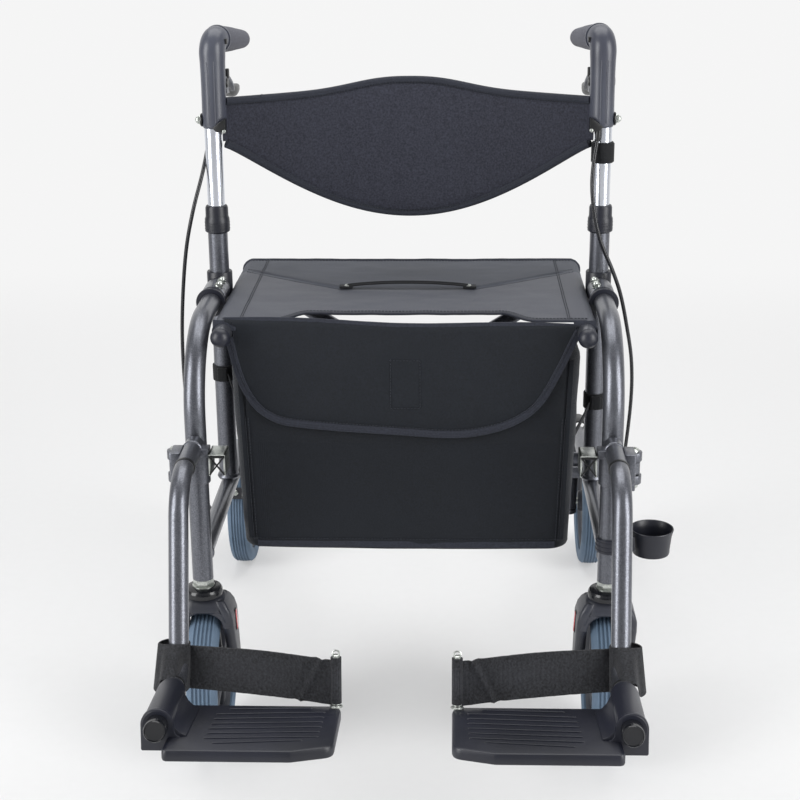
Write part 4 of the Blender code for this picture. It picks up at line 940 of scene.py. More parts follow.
def make_brake_shoe():
    arm_path = [
        Vector((0.2632, *BRAKE_PIVOT)), Vector((0.2632, 0.1985, 0.188)), Vector((0.2632, 0.2085, 0.162))
    ]
    arm = swept(bent(arm_path, [0.02], 6), rounded_box(0.0015, 0.0085, 0.0007, 2), up=Vector((0, 1, 0)))
    eye = turned([(0.009, 0.2618), (0.009, 0.2646)], (0, *BRAKE_PIVOT), (1, 0, 0), 28)
    outward = Vector((0, 0.216 - REAR_AXLE.y, 0.1466 - AXLE_Z)).normalized()
    face = Vector((REAR_AXLE.x, 0.216, 0.1466))
    matrix = basis(face, outward, (1, 0, 0))
    block = plate(rounded_box(0.0095, 0.0085, 0.002), 0.0003, 0.0165, matrix, 0.0009)
    pads = []
    for shift in (-0.0055, 0.0, 0.0055):
        pads.append(
            plate(
                rounded_box(0.0096, 0.0012, 0.0006, 2), 0.0002, 0.004,
                matrix @ Matrix.Translation((0, shift, 0)), 0.0003,
            )
        )
    pair(
        "brake_block", joined([arm, eye, block, *pads]), BRAKE_RUBBER, "brake", ["brake_shoe"],
    )
    screw = bolt_head(face + outward * 0.0165, outward, 0.0044, 0.0026)
    side_screw = bolt_head(face + outward * 0.009 + Vector((-0.0093, 0, 0)), (-1, 0, 0), 0.0046, 0.0024)
    pair("brake_block_screw", joined([screw, side_screw]), ZINC, "brake", ())


def make_braces():
    """Two crossed tubes with pressed eyes at the foot, a tee at the seat rail and a bolt where they cross."""
    for name, y, sign, rail_side, body in (
        ("brace_a", 0.005, 1, "right", "brace_a"), ("brace_b", 0.035, -1, "left", "brace_b")
    ):
        foot = Vector((-BRACE_FOOT_X * sign, y, RAIL_Z))
        head = Vector((SEAT_RAIL_X * sign, y, SEAT_RAIL_Z))
        bar = tube([foot, head], 0.0095)
        eye = turned(ridge_profile(0.0102, 0.011, y, 0.0085, 0.0078), (foot.x, 0, foot.z), (0, 1, 0), 36)
        boss_at = (foot + head) / 2
        boss = turned(ridge_profile(0.0122, 0.0128, y, 0.0103, 0.0096), (0, 0, boss_at.z), (0, 1, 0), 36)
        piece(f"{name}_tube", joined([bar, eye, boss]), ENAMEL, body, [name])
        rail = turned(
            [(0.01, 0.0), (0.0111, 0.0006), (0.0111, 0.3354), (0.01, 0.336)], (head.x, -0.266, head.z),
            (0, 1, 0),
        )
        tee = ring_turned(ridge_profile(0.0112, 0.0126, y, 0.016, 0.0152), (head.x, 0, head.z), (0, 1, 0))
        piece(
            f"{rail_side}_seat_rail_tube", joined([rail, tee]), ENAMEL, body, [f"{rail_side}_seat_rail"],
        )
        dome = [(0.0098, 0.0), *dome_profile(0.0119, 0.0012, 0.0115, 9)]
        cap = turned(dome, (head.x, -0.2663, head.z), (0, -1, 0))
        piece(
            f"{rail_side}_rail_ball_cap", cap, CHARCOAL, body, [f"{rail_side}_ball_cap"]
        )
        rear = turned(
            [(0.0104, 0.0), (0.0112, 0.0008), (0.0108, 0.0032), (0.0, 0.0042)], (head.x, 0.0702, head.z),
            (0, 1, 0),
        )
        piece(f"{rail_side}_rail_rear_plug", rear, GLOSS_NYLON, body, ())
    centre = bolt_through((0, -0.0065, BRACE_CROSS_Z), (0, 0.0468, BRACE_CROSS_Z), 0.0055, 0.0085, 0.0035)
    piece("brace_centre_bolt", centre, ZINC, "brace_a", ())


make_side_tubes()
make_collar()
make_saddle()
make_pivot_bracket()
make_caster_stem()
make_brake_bracket()
make_brake_shoe()
make_braces()


def make_handles():
    inner = turned([(0.0098, 0.503), (0.0111, 0.5042), (0.0111, 0.7997), (0.0105, 0.8)], UPRIGHT_AXIS, UP)
    dimples = []
    for z in (0.676, 0.7):
        dimples.append(
            turned(
                [(0.0032, 0.0), (0.0032, 0.0006), (0.0026, 0.0009), (0.0, 0.0004)],
                (FRAME_X, UPRIGHT_Y + 0.0108, z), (0, 1, 0), 20,
            )
        )
    pair("height_tube", joined([inner, *dimples]), SILVER, "handle", ["handle_tube"])

    bottom = Vector((FRAME_X - 0.0026, UPRIGHT_Y, HANDLE_FOOT_Z))
    run = GRIP_RUN.normalized()
    path = bent([bottom, HANDLE_ELBOW, HANDLE_ELBOW + run * 0.025], [0.017], 18)
    upright = HANDLE_ELBOW - bottom
    rise_path = [bottom + upright * t * 0.78 for t in (0.0, 0.015, 0.03, 0.2, 0.4, 0.6, 0.8, 0.95)] + path[1:]
    sizes = [0.93, 0.97, 0.98, 0.98, 0.97, 0.97, 0.98, 1.0] + [1.03] * (len(path) - 1)
    shell = swept(rise_path, circle(0.016), scale=sizes)
    hollow_lip = ring_turned(
        [(0.0113, HANDLE_FOOT_Z), (0.014, 0.7572), (0.0148, HANDLE_FOOT_Z), (0.015, 0.761), (0.0113, 0.762)],
        (bottom.x, UPRIGHT_Y, 0), UP, 48,
    )
    ridges = []
    for shift in (-0.003, 0.0045):
        front = Vector((shift, -math.sqrt(0.016**2 - shift**2) + 0.0004, 0))
        line = [bottom + upright * (0.04 + 0.72 * t) + front for t in spread(0, 1, 6)]
        ridges.append(swept(line, circle(0.001, 10)))
    flange_at = HANDLE_ELBOW + run * 0.0205
    flange = ring_turned(
        [(0.013, 0.0), (0.0174, 0.0), (0.0178, 0.0008), (0.0178, 0.003), (0.0172, 0.0042), (0.013, 0.0044)],
        flange_at, run, 48,
    )
    pair(
        "handle_shell", joined([shell, hollow_lip, *ridges, flange]), HANDLE_NYLON, "handle",
        ["handle_housing"],
    )

    recess_at = HANDLE_ELBOW + Vector((-0.0168, 0.003, -0.003))
    recess = slab(
        recess_at - Vector((0.0022, 0.0034, 0.0033)), recess_at + Vector((0.0022, 0.0034, 0.0033)), 0.0006
    )
    washer = turned(
        [(0.0082, 0.0), (0.0085, 0.001), (0.008, 0.0024), (0.006, 0.003), (0.0, 0.003)],
        (FRAME_X + 0.0126, UPRIGHT_Y, CLAMP_Z), (1, 0, 0), 32,
    )
    wedge_outline = [
        (0.2452, 0.7588), (0.2405, 0.7536), (0.2288, 0.753), (0.2284, 0.77), (0.2318, 0.7692),
        (0.238, 0.7652),
    ]
    standing = Matrix(((1, 0, 0, 0), (0, 0, -1, -0.061), (0, 1, 0, 0), (0, 0, 0, 1)))
    wedge = plate(wedge_outline, 0.0, 0.0125, standing, 0.0008)
    pair(
        "handle_clamp_plate", joined([recess, washer, wedge]), BLACK_ENAMEL, "handle", ()
    )
    knob = acorn_nut((FRAME_X + 0.0154, UPRIGHT_Y, CLAMP_Z), (1, 0, 0), 0.0092, 0.0062)
    band_screw = bolt_head((0.2306, -0.0733, 0.7548), (0, -1, 0), 0.0024, 0.0014)
    pair("handle_clamp_nut", joined([knob, band_screw]), ZINC, "handle", ())

    start = HANDLE_ELBOW + run * 0.0242
    end = HANDLE_ELBOW + GRIP_RUN
    length = (end - start).length
    profile = [(0.0, 0.0), (0.015, 0.0002), (0.0164, 0.0012), (0.0167, 0.004), (0.0165, 0.012), (0.016, 0.03)]
    profile += [(0.0151, 0.048), (0.0139, 0.064), (0.0125, length - 0.018)]
    for i in range(1, 10):
        turn = math.radians(90 * i / 9)
        profile.append((0.0121 * math.cos(turn) ** 0.9, length - 0.013 + 0.016 * math.sin(turn)))
    handle = turned(profile, start, run, 56)
    pair("hand_grip", handle, GRIP, "handle", ["grip"], 60)


def make_levers():
    """A squeeze lever: two cheeks on the pivot, a bridge behind the post and a blade under the grip."""
    parts = []
    for side in (-1, 1):
        x = LEVER_PIVOT.x - 0.0035 + side * 0.0136
        outline = arc(LEVER_PIVOT.yz, 0.008, -60, 220, 16)
        outline += [(-0.045, 0.799), (-0.0265, 0.7965), (-0.02, 0.7965), (-0.02, 0.803), (-0.033, 0.807)]
        parts.append(plate(outline, -0.001, 0.002, plane_x(x), 0.0004))
    middle_x = LEVER_PIVOT.x - 0.0035
    bridge = slab((middle_x - 0.0146, -0.0268, 0.7962), (middle_x + 0.0146, -0.0198, 0.8032), 0.0012)
    horn = swept(
        [
            (0.233, -0.04, 0.812), (0.2318, -0.031, 0.817), (0.2302, -0.021, 0.815), (0.2288, -0.011, 0.8085),
            (0.2282, -0.002, 0.802), (0.229, 0.008, 0.797),
        ],
        rounded_box(0.003, 0.0026, 0.0016, 3), up=UP,
    )
    pair(
        "brake_lever_arm", joined([*parts, bridge, horn]), HANDLE_NYLON, "lever", ["brake_lever"],
    )
    blade = []
    for t in spread(0.0, 1.0, 18):
        y = -0.024 + 0.0972 * t
        x = middle_x - 0.0088 * step_up(t, 0.15, 0.75)
        z = 0.8005 - 0.0095 * step_up(t, 0.1, 0.75)
        half = 0.007 + 0.0012 * step_up(t, 0.2, 0.6) - 0.002 * t**4
        thick = 0.0034 + 0.0052 * step_up(t, 0.2, 0.6) - 0.003 * t**4
        blade.append([Vector((x + a, y, z + b)) for a, b in rounded_box(half, thick, thick * 0.7, 4)])
    clip = slab((0.2272, -0.0352, 0.8155), (0.2322, -0.0262, 0.828), 0.001)
    pair("brake_lever_blade", joined([ring_skin(blade), clip]), BLACK_ENAMEL, "lever", ())
    caps = []
    for side in (-1, 1):
        at = LEVER_PIVOT + Vector((-0.003 + side * 0.0146, 0, 0))
        caps.append(
            turned([(0.0064, 0), (0.0064, 0.001), (0.0054, 0.0022), (0.0, 0.0024)], at, (side, 0, 0), 28)
        )
    pair("lever_pivot_cap", joined(caps), BLACK_ENAMEL, "lever", ())


def fork_leg(side):
    """One leg of the caster fork, deep at the crown and narrow at the axle."""
    rings = []
    levels = [
        (0.088, 0.0055, -0.265), (0.09, 0.0092, -0.265), (0.095, 0.0117, -0.265), (0.101, 0.0125, -0.2652),
        (0.115, 0.0135, -0.269), (0.135, 0.0155, -0.2755), (0.16, 0.019, -0.285), (0.18, 0.0225, -0.2915),
        (0.195, 0.0242, -0.2945), (0.206, 0.0238, -0.2948), (0.2135, 0.0215, -0.295),
        (0.218, 0.0175, -0.2955),
    ]
    for z, half, y in levels:
        rise = min(max((z - 0.175) / 0.043, 0), 1)
        outer = 0.0382 - 0.0012 * (1 - rise) - 0.0125 * rise**3.2
        inner = 0.0236
        if z > 0.2:
            inner = 0.0236 - (z - 0.2) / 0.018 * 0.01
        middle = (inner + outer) / 2
        thick = max((outer - inner) / 2, 0.0018)
        outline = rounded_box(thick, half, min(thick * 0.75, half * 0.6), 5)
        rings.append([Vector((FRAME_X + side * (middle + a), y + b, z)) for a, b in outline])
    return ring_skin(rings)


def make_forks():
    crown = []
    for z, half_x, half_y in (
        (0.2035, 0.0262, 0.0228), (0.2055, 0.0285, 0.024), (0.21, 0.029, 0.0232), (0.215, 0.0278, 0.0208),
        (0.219, 0.025, 0.0172), (0.221, 0.022, 0.015), (0.2217, 0.019, 0.0135),
    ):
        outline = rounded_box(half_x, half_y, half_y * 0.75, 6)
        crown.append([Vector((FRAME_X + a, -0.295 + b, z)) for a, b in outline])
    arch = []
    for turn in spread(0.0, math.pi, 20):
        c, s = math.cos(turn), math.sin(turn)
        inner_x, inner_z = 0.024 * c, 0.1835 + 0.0195 * s
        outer_x, outer_z = 0.033 * c, 0.1835 + 0.029 * s
        ring = []
        for a, b in rounded_box(0.0048, 0.0225, 0.0025, 4):
            share = (a + 0.0048) / 0.0096
            x = inner_x + (outer_x - inner_x) * share
            z = inner_z + (outer_z - inner_z) * share
            ring.append(Vector((FRAME_X + x, -0.2948 + b, z)))
        arch.append(ring)
    body = joined([fork_leg(-1), fork_leg(1), ring_skin(crown), ring_skin(arch)])
    pair("caster_fork_body", body, FORK_NYLON, "fork", ["caster_fork"])
    bolts = []
    for side in (-1, 1):
        at = Vector((FRAME_X + side * 0.0374, FRONT_AXLE.y, AXLE_Z))
        bolts.append(acorn_nut(at, (side, 0, 0), 0.01, 0.0048))
    axle = turned([(0.0045, -0.037), (0.0045, 0.037)], FRONT_AXLE, (1, 0, 0), 20)
    pair("caster_axle_bolt", joined([*bolts, axle]), ZINC, "fork", ())
    lens_at = basis((FRAME_X - 0.0366, -0.29, 0.184), (-1, 0, 0.06), (0, 1, 0))
    lens = plate(rounded_box(0.0042, 0.0125, 0.0015, 3), 0.0, 0.0018, lens_at, 0.0005)
    rim = plate(rounded_box(0.0052, 0.0138, 0.002, 3), 0.0, 0.0011, lens_at, 0.0004)
    pair("fork_reflector", lens, REFLECTOR, "fork", ())
    pair("fork_reflector_rim", rim, GLOSS_NYLON, "fork", ())


def tyre_shape(centre, half, grooves=5):
    """A solid tyre: rounded shoulders and shallow grooves round the tread."""
    inner, outer = 0.0785, 0.1
    profile = [(inner, -half * 0.86), (inner + 0.004, -half * 0.97), (inner + 0.0085, -half)]
    for i in range(5):
        turn = math.radians(18 * i)
        profile.append((outer - 0.0105 + 0.0082 * math.sin(turn), -half + 0.0045 * (1 - math.cos(turn))))
    span = half * 1.3
    step = span / grooves
    for i in range(grooves):
        middle = -span / 2 + step * (i + 0.5)
        crown = outer - 0.0022 * (abs(middle) / half) ** 2
        for shift, depth in (
            (-0.5, 0.0), (-0.3, 0.0), (-0.22, 0.0016), (0.22, 0.0016), (0.3, 0.0), (0.5, 0.0)
        ):
            if abs(shift) == 0.5 and i not in (0, grooves - 1):
                continue
            profile.append((crown - depth, middle + step * shift))
    for i in range(5):
        turn = math.radians(90 - 18 * i)
        profile.append((outer - 0.0105 + 0.0082 * math.sin(turn), half - 0.0045 * (1 - math.cos(turn))))
    profile += [(inner + 0.0085, half), (inner + 0.004, half * 0.97), (inner, half * 0.86)]
    return ring_turned(profile, centre, (1, 0, 0), 112)


def rim_shape(centre, band, hub_half, spokes=5):
    """A moulded rim: a stepped band, a web with openings between broad spokes, and a hub."""
    ring = ring_turned(
        [
            (0.0782, -band), (0.0782, band), (0.0762, band), (0.0735, band * 0.85), (0.0715, band * 0.45),
            (0.071, 0.004), (0.071, -0.004), (0.0715, -band * 0.45), (0.0735, -band * 0.85), (0.0762, -band),
        ],
        centre, (1, 0, 0), 96,
    )
    hub = ring_turned(
        [
            (0.0062, -hub_half), (0.0145, -hub_half), (0.0165, -hub_half + 0.0012), (0.017, -hub_half * 0.6),
            (0.019, -0.006), (0.019, 0.006), (0.017, hub_half * 0.6), (0.0165, hub_half - 0.0012),
            (0.0145, hub_half), (0.0062, hub_half),
        ],
        centre, (1, 0, 0), 56,
    )
    web = ring_turned(
        [(0.018, -0.0016), (0.0715, -0.0016), (0.0715, 0.0016), (0.018, 0.0016)], centre, (1, 0, 0), 96
    )
    parts = [ring, hub, web]
    for i in range(spokes):
        turn = 2 * math.pi * (i + 0.15) / spokes
        out = Vector((0, math.cos(turn), math.sin(turn)))
        across = Vector((0, -math.sin(turn), math.cos(turn)))
        rings = []
        for t in spread(0.0, 1.0, 8):
            radius = 0.0165 + 0.056 * t
            half_wide = 0.0085 - 0.0035 * math.sin(math.pi * t)
            half_deep = hub_half * 0.62 * (1 - t) + band * 0.62 * t
            outline = rounded_box(half_deep, half_wide, min(half_deep, half_wide) * 0.45, 3)
            rings.append([Vector(centre) + out * radius + Vector((a, 0, 0)) + across * b for a, b in outline])
        parts.append(ring_skin(rings))
        rib_turn = turn + math.pi / spokes
        rib_out = Vector((0, math.cos(rib_turn), math.sin(rib_turn)))
        rib_across = Vector((0, -math.sin(rib_turn), math.cos(rib_turn)))
        rib = []
        for t in (0.0, 1.0):
            radius = 0.0175 + 0.0545 * t
            rib.append(
                [
                    Vector(centre) + rib_out * radius + Vector((a, 0, 0)) + rib_across * b
                    for a, b in rounded_box(0.005, 0.0014, 0.0006, 2)
                ]
            )
        parts.append(ring_skin(rib))
    return joined(parts)


def make_wheels():
    for name, centre, half, hub_half in (
        ("rear", REAR_AXLE, 0.017, 0.0175), ("front", FRONT_AXLE, 0.019, 0.0225)
    ):
        pair(
            f"{name}_wheel_tyre", tyre_shape(centre, half), TYRE, f"{name}_wheel", [f"{name}_tyre"],
            28,
        )
        pair(
            f"{name}_wheel_rim", rim_shape(centre, half - 0.005, hub_half), WHEEL_NYLON, f"{name}_wheel",
            [f"{name}_rim"],
        )
    seals = []
    for side in (-1, 1):
        seals.append(
            ring_turned(
                [(0.0062, 0.0), (0.012, 0.0), (0.0124, 0.0006), (0.0118, 0.001), (0.0062, 0.001)],
                REAR_AXLE + Vector((side * 0.0165, 0, 0)), (side, 0, 0), 32,
            )
        )
    pair("rear_wheel_bearing", joined(seals), ZINC, "rear_wheel", ())


make_handles()
make_levers()
make_forks()
make_wheels()


def foot_matrix():
    """A frame whose X is inboard, Y along the rest and Z up."""
    columns = (Vector((-1, 0, 0)), FOOT_ALONG, FOOT_UP)
    return Matrix.Translation(FOOT_CORNER) @ Matrix(columns).transposed().to_4x4()


def make_hangers():
    end = FOOT_CORNER + HUB_RUN * 0.1736
    path = [(HANGER_X, -0.3167, HANGER_Z), (HANGER_X, -0.436, HANGER_Z), tuple(FOOT_CORNER), tuple(end)]
    bar = tube(path, RAIL_R, [0.06, 0.035], 18)
    knuckle = ring_turned(
        sleeve_profile(0.0043, 0.0085, 0.3846, 0.3995, 0.0007, 0.0007), (HINGE_X, LEG_Y, 0), UP, 40
    )
    web_outline = [
        (-0.3, 0.385), (-0.3, 0.399), (-0.333, 0.429), (-0.364, 0.429), (-0.364, 0.41), (-0.35, 0.396),
        (-0.33, 0.385),
    ]
    web = plate(web_outline, 0.0, 0.004, plane_x(0.264), 0.0005)
    block = slab((0.2552, -0.3652, 0.3866), (0.2678, -0.3352, 0.4308), 0.001)
    tab = slab((0.2256, -0.3448, 0.4182), (0.2394, -0.3252, 0.4278), 0.0008)
    weld = ring_turned(
        [(0.011, 0.0), (0.0122, 0.0008), (0.0126, 0.0022), (0.012, 0.0036), (0.011, 0.0044)],
        (HANGER_X, -0.335, HANGER_Z), (0, -1, 0), 40,
    )
    pair(
        "hanger_tube", joined([bar, knuckle, web, block, tab, weld]), ENAMEL, "foot_rest", ["hanger"],
    )

    cap = turned(
        [
            (0.0112, -0.02), (0.0114, -0.0195), (0.0114, 0.0), (0.0112, 0.0012), (0.0106, 0.002),
            (0.0099, 0.0018), (0.0094, 0.0008), (0.0, 0.0006),
        ],
        end, HUB_RUN, 48,
    )
    pair("hanger_end_cap", cap, GLOSS_NYLON, "foot_rest", ())
    seal = ring_turned(
        [(0.011, 0), (0.0119, 0.0003), (0.0119, 0.0023), (0.011, 0.0026)], FOOT_CORNER + HUB_RUN * 0.0355,
        HUB_RUN, 40,
    )
    top_seal = ring_turned(
        [(0.011, 0), (0.012, 0.0003), (0.012, 0.0042), (0.011, 0.0046)], (HANGER_X, -0.3905, HANGER_Z),
        (0, -1, 0), 40,
    )
    pair("hanger_ring", joined([seal, top_seal]), BLACK_ENAMEL, "foot_rest", ())


def make_catches():
    """The spring catch: a channel open below, with two crossed bars at its front."""
    wall = 0.0024
    inboard, outboard, front, back = 0.2053, 0.2251, -0.3518, -0.3182
    low, high = 0.3982, 0.4238
    top = slab((inboard, front, HANGER_Z - wall), (outboard, back, high), 0.0006)
    outer = slab((inboard, front, low), (inboard + wall, back, high), 0.0006)
    inner = slab((outboard - wall, front, low), (outboard, back, high), 0.0006)
    pair("catch_channel", joined([top, outer, inner]), ZINC, "catch", ["hanger_catch"])
    arms = []
    middle = 0.2152
    for sign in (-1, 1):
        a = Vector((middle + sign * 0.0086, -0.3521, 0.4222))
        b = Vector((middle - sign * 0.0086, -0.3521, 0.4))
        arms.append(swept([a, b], rounded_box(0.0011, 0.0009, 0.0004, 2)))
    lip = slab((0.2058, -0.353, 0.4205), (0.2246, -0.3512, 0.4236), 0.0004)
    pair("catch_grip_arms", joined([*arms, lip]), BLACK_ENAMEL, "catch", ())


def plate_outline(grow=0.0):
    """The foot plate seen from above, in u and v: a cut front corner inboard and round corners."""
    low_u, high_u, low_v, high_v = 0.0145 - grow, 0.184 + grow, 0.059 - grow, 0.192 + grow
    cut_u, cut_v, corner = 0.042, 0.015, 0.014
    points = [
        (low_u, low_v), (high_u, low_v), (high_u, high_v - cut_v), (high_u - cut_u, high_v), (low_u, high_v)
    ]
    points = [Vector(p) for p in points]
    radii = (0.006, corner, corner, 0.012, 0.006)
    out = []
    for i, radius in enumerate(radii):
        after = points[(i + 1) % len(points)]
        out += [tuple(p) for p in corner_arc(points[i - 1], points[i], after, radius, 6)]
    return out


# The ribs of the foot plate: where each starts and ends, inboard and along.
RIBS = [
    (0.0657, 0.0739, 0.1531, 0.0696), (0.0545, 0.0896, 0.1681, 0.0811), (0.054, 0.1037, 0.1681, 0.0953),
    (0.0535, 0.1178, 0.1681, 0.1095), (0.053, 0.1318, 0.168, 0.1237), (0.0525, 0.1455, 0.1674, 0.1376),
    (0.0519, 0.1592, 0.1668, 0.1515), (0.0624, 0.1726, 0.1516, 0.1619),
]


def make_foot_plates():
    matrix = foot_matrix()
    body = plate(plate_outline(), -0.0248, 0.0126, matrix, 0.0028)
    ribs = []
    for u0, v0, u1, v1 in RIBS:
        start, end = matrix @ Vector((u0, v0, -0.0121)), matrix @ Vector((u1, v1, -0.0121))
        path = [start.lerp(end, t) for t in (0.0, 0.008, 0.025, 0.975, 0.992, 1.0)]
        ribs.append(
            swept(path, rounded_box(0.0013, 0.0012, 0.0008, 3), up=FOOT_UP, scale=[0.4, 0.8, 1, 1, 0.8, 0.4])
        )
    hub = ring_turned(
        [
            (0.0113, 0.048), (0.0124, 0.0482), (0.0138, 0.0498), (0.0148, 0.053), (0.0154, 0.058),
            (0.0156, 0.156), (0.015, 0.1566), (0.0113, 0.1566),
        ],
        FOOT_CORNER, HUB_RUN, 56,
    )
    # Outlines across the tube: the arch round the hub's front, and the wall that slopes to the deck.
    across = matrix @ plane_y(0.0, 0.0046)
    arch = [(0.0168 * math.cos(t), 0.0168 * math.sin(t)) for t in spread(math.pi, 0.0, 28)]
    arch += [(0.0171, -0.004), (0.018, -0.008), (0.0198, -0.0106), (0.0226, -0.0118), (0.024, -0.015)]
    arch += [(0.015, -0.027), (-0.0155, -0.027), (-0.0168, -0.0256)]
    front = plate(arch, 0.149, 0.0072, across, 0.0013)
    wall = [
        (-0.016, 0.0), (0.0, 0.008), (0.0136, 0.005), (0.0176, -0.003), (0.0225, -0.0082), (0.0276, -0.0102)
    ]
    wall += [(0.0292, -0.0108), (0.0296, -0.013), (0.026, -0.02), (-0.015, -0.0222)]
    side_wall = plate(wall, 0.07, 0.084, across, 0.001)
    pair(
        "foot_plate_body", joined([body, *ribs, hub, front, side_wall]), CHARCOAL, "plate", ["foot_plate"],
        32,
    )
    base = matrix @ Vector((0.1785, 0.064, -0.0117))
    pin = turned(
        [
            (0.007, 0.0), (0.0072, 0.0006), (0.006, 0.002), (0.0042, 0.0028), (0.004, 0.004), (0.004, 0.0568),
            (0.003, 0.0576), (0.0, 0.058),
        ],
        base, FOOT_UP, 32,
    )
    eye = basis(base + FOOT_UP * 0.059, (0.1, -1, 0.45))
    ring = [eye @ Vector((0.0036 * math.cos(t), 0.0028 * math.sin(t), 0)) for t in spread(0, 2 * math.pi, 28)]
    cotter = swept(ring, circle(0.0009, 10))
    pair("heel_strap_pin", joined([pin, cotter]), ZINC, "plate", ["heel_pin"])


def turned_ribs(shape):
    """The coordinates are turned so that the ribs run up the strap."""
    for number, corners in enumerate(shape.corners):
        shape.corners[number] = [(v, u) for u, v in corners]
    return shape


def strap_loop():
    """Webbing round the leaning hanger tube. In front it lies on the bend and is pushed forward."""
    rings = []
    for turn in spread(0.0, 2 * math.pi, 56)[:-1]:
        c, s = math.cos(turn), math.sin(turn)
        ahead = max(0.0, -s)
        over = step_up(ahead, 0.72, 0.96)
        top = Vector((0, -0.4995 + s * 0.0122, 0.2575 + 0.0054 * ahead))
        low = Vector(
            (0, -0.515 + s * 0.0122 - 0.01 * ahead - 0.017 * over, 0.2125 + 0.002 * ahead + 0.0285 * over)
        )
        skins = []
        for out in (0.0, 0.0016):
            line = []
            for share in spread(0.0, 1.0, 10):
                place = low.lerp(top, share)
                wide = 0.019 + 0.0045 * (1 - share) if c > 0 else 0.0138
                swell_out = 0.003 * over * math.sin(math.pi * share)
                line.append(Vector((HANGER_X + c * (wide + out), place.y + s * out - swell_out, place.z)))
            skins.append(line)
        rings.append(skins[1] + skins[0][::-1])
    return turned_ribs(ring_skin(rings, loop=True))


def strap_band():
    """The strap behind the heel, from the tube to the pin, with a crease near the pin."""
    start, end = Vector((0.2338, -0.514, 0.211)), Vector((0.069, -0.575, 0.2262))
    start_rise, end_rise = Vector((0, 0.016, 0.0435)), Vector((0, 0.00868, 0.0478))
    rings = []
    for t in spread(0.0, 1.0, 48):
        base = start.lerp(end, t) + Vector((0, 0.004 * math.sin(math.pi * t), 0))
        rise = start_rise.lerp(end_rise, t)
        front, back = [], []
        for share in spread(0.0, 1.0, 16):
            fold = (t - 0.79 - 0.145 * share) / 0.016
            soft = 0.003 * math.exp(-fold * fold) - 0.0016 * math.exp(-((fold + 2.2) / 1.3) ** 2)
            soft += 0.001 * math.sin(2.6 * share + 4 * t) * math.sin(math.pi * t)
            soft += 0.0005 * noise.noise(Vector((t * 22, share * 5, 1.0)))
            place = base + rise * share + Vector((0, -soft, 0))
            front.append(place - Vector((0, 0.0011, 0)))
            back.append(place + Vector((0, 0.0011, 0)))
        rings.append(front + back[::-1])
    return turned_ribs(ring_skin(rings))


def strap_sleeve():
    """The hem that holds the pin."""
    base = foot_matrix() @ Vector((0.1785, 0.064, -0.0071))
    rings = []
    for turn in spread(0.0, 2 * math.pi, 32)[:-1]:
        out = Vector((1, 0, 0)) * math.cos(turn) - FOOT_ALONG * math.sin(turn)
        line = [base + FOOT_UP * h + out * 0.0058 for h in spread(0.0, 0.05, 8)]
        inner = [base + FOOT_UP * h + out * 0.0042 for h in spread(0.05, 0.0, 8)]
        rings.append(line + inner)
    return turned_ribs(ring_skin(rings, loop=True))


def make_heel_straps():
    """Ribbed webbing behind the heel, looped round the tube at one end and the pin at the other."""
    whole = joined([strap_band(), strap_sleeve()])
    loop = strap_loop()
    for side, sign in (("right", 1), ("left", -1)):
        form, ring = (whole, loop) if sign > 0 else (whole.mirrored(), loop.mirrored())
        webbing = piece(
            f"{side}_heel_webbing", form, HEEL_WEBBING, None, [f"{side}_heel_strap"], 40
        )
        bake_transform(webbing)
        piece(f"{side}_heel_webbing_loop", ring, HEEL_WEBBING, f"{side}_foot_rest", (), 50)


make_hangers()
make_catches()
make_foot_plates()
make_heel_straps()


def blend_points(points, value):
    """A height read off a smooth line through (place, height) points."""
    if value <= points[0][0]:
        return points[0][1]
    for i in range(len(points) - 1):
        (x0, y0), (x1, y1) = points[i], points[i + 1]
        if value <= x1:
            before = points[max(i - 1, 0)]
            after = points[min(i + 2, len(points) - 1)]
            slope0 = (y1 - before[1]) / (x1 - before[0])
            slope1 = (after[1] - y0) / (after[0] - x0)
            span = x1 - x0
            t = (value - x0) / span
            h1, h2 = (1 + 2 * t) * (1 - t) ** 2, t * (1 - t) ** 2
            h3, h4 = t * t * (3 - 2 * t), t * t * (t - 1)
            return h1 * y0 + h2 * span * slope0 + h3 * y1 + h4 * span * slope1
    return points[-1][1]


def cloth_shell(rows, thickness):
    """A sheet of cloth over a grid of points, with a real thickness on the side away from its normal."""
    rows = [[Vector(p) for p in row] for row in rows]
    high, wide = len(rows), len(rows[0])
    across = lengths_of(rows[high // 2])
    along = lengths_of([row[wide // 2] for row in rows])
    under = []
    for i in range(high):
        line = []
        for j in range(wide):
            du = rows[i][min(j + 1, wide - 1)] - rows[i][max(j - 1, 0)]
            dv = rows[min(i + 1, high - 1)][j] - rows[max(i - 1, 0)][j]
            line.append(rows[i][j] - du.cross(dv).normalized() * thickness)
        under.append(line)
    shape = Shape()
    for grid in (rows, under):
        for row in grid:
            shape.points += row
    low = high * wide
    for i in range(high - 1):
        for j in range(wide - 1):
            a, b = i * wide + j, i * wide + j + 1
            c, d = b + wide, a + wide
            corners = [
                (across[j], along[i]), (across[j + 1], along[i]), (across[j + 1], along[i + 1]),
                (across[j], along[i + 1]),
            ]
            shape.add_face([a, b, c, d], corners)
            shape.add_face([low + d, low + c, low + b, low + a], corners[::-1])
    edge = list(range(wide))
    edge += [i * wide + wide - 1 for i in range(1, high)]
    edge += [(high - 1) * wide + j for j in range(wide - 2, -1, -1)]
    edge += [i * wide for i in range(high - 2, 0, -1)]
    for a, b in zip(edge, edge[1:] + edge[:1]):
        shape.add_face([a, low + a, low + b, b], [(0, 0), (0, thickness), (0.001, thickness), (0.001, 0)])
    return shape


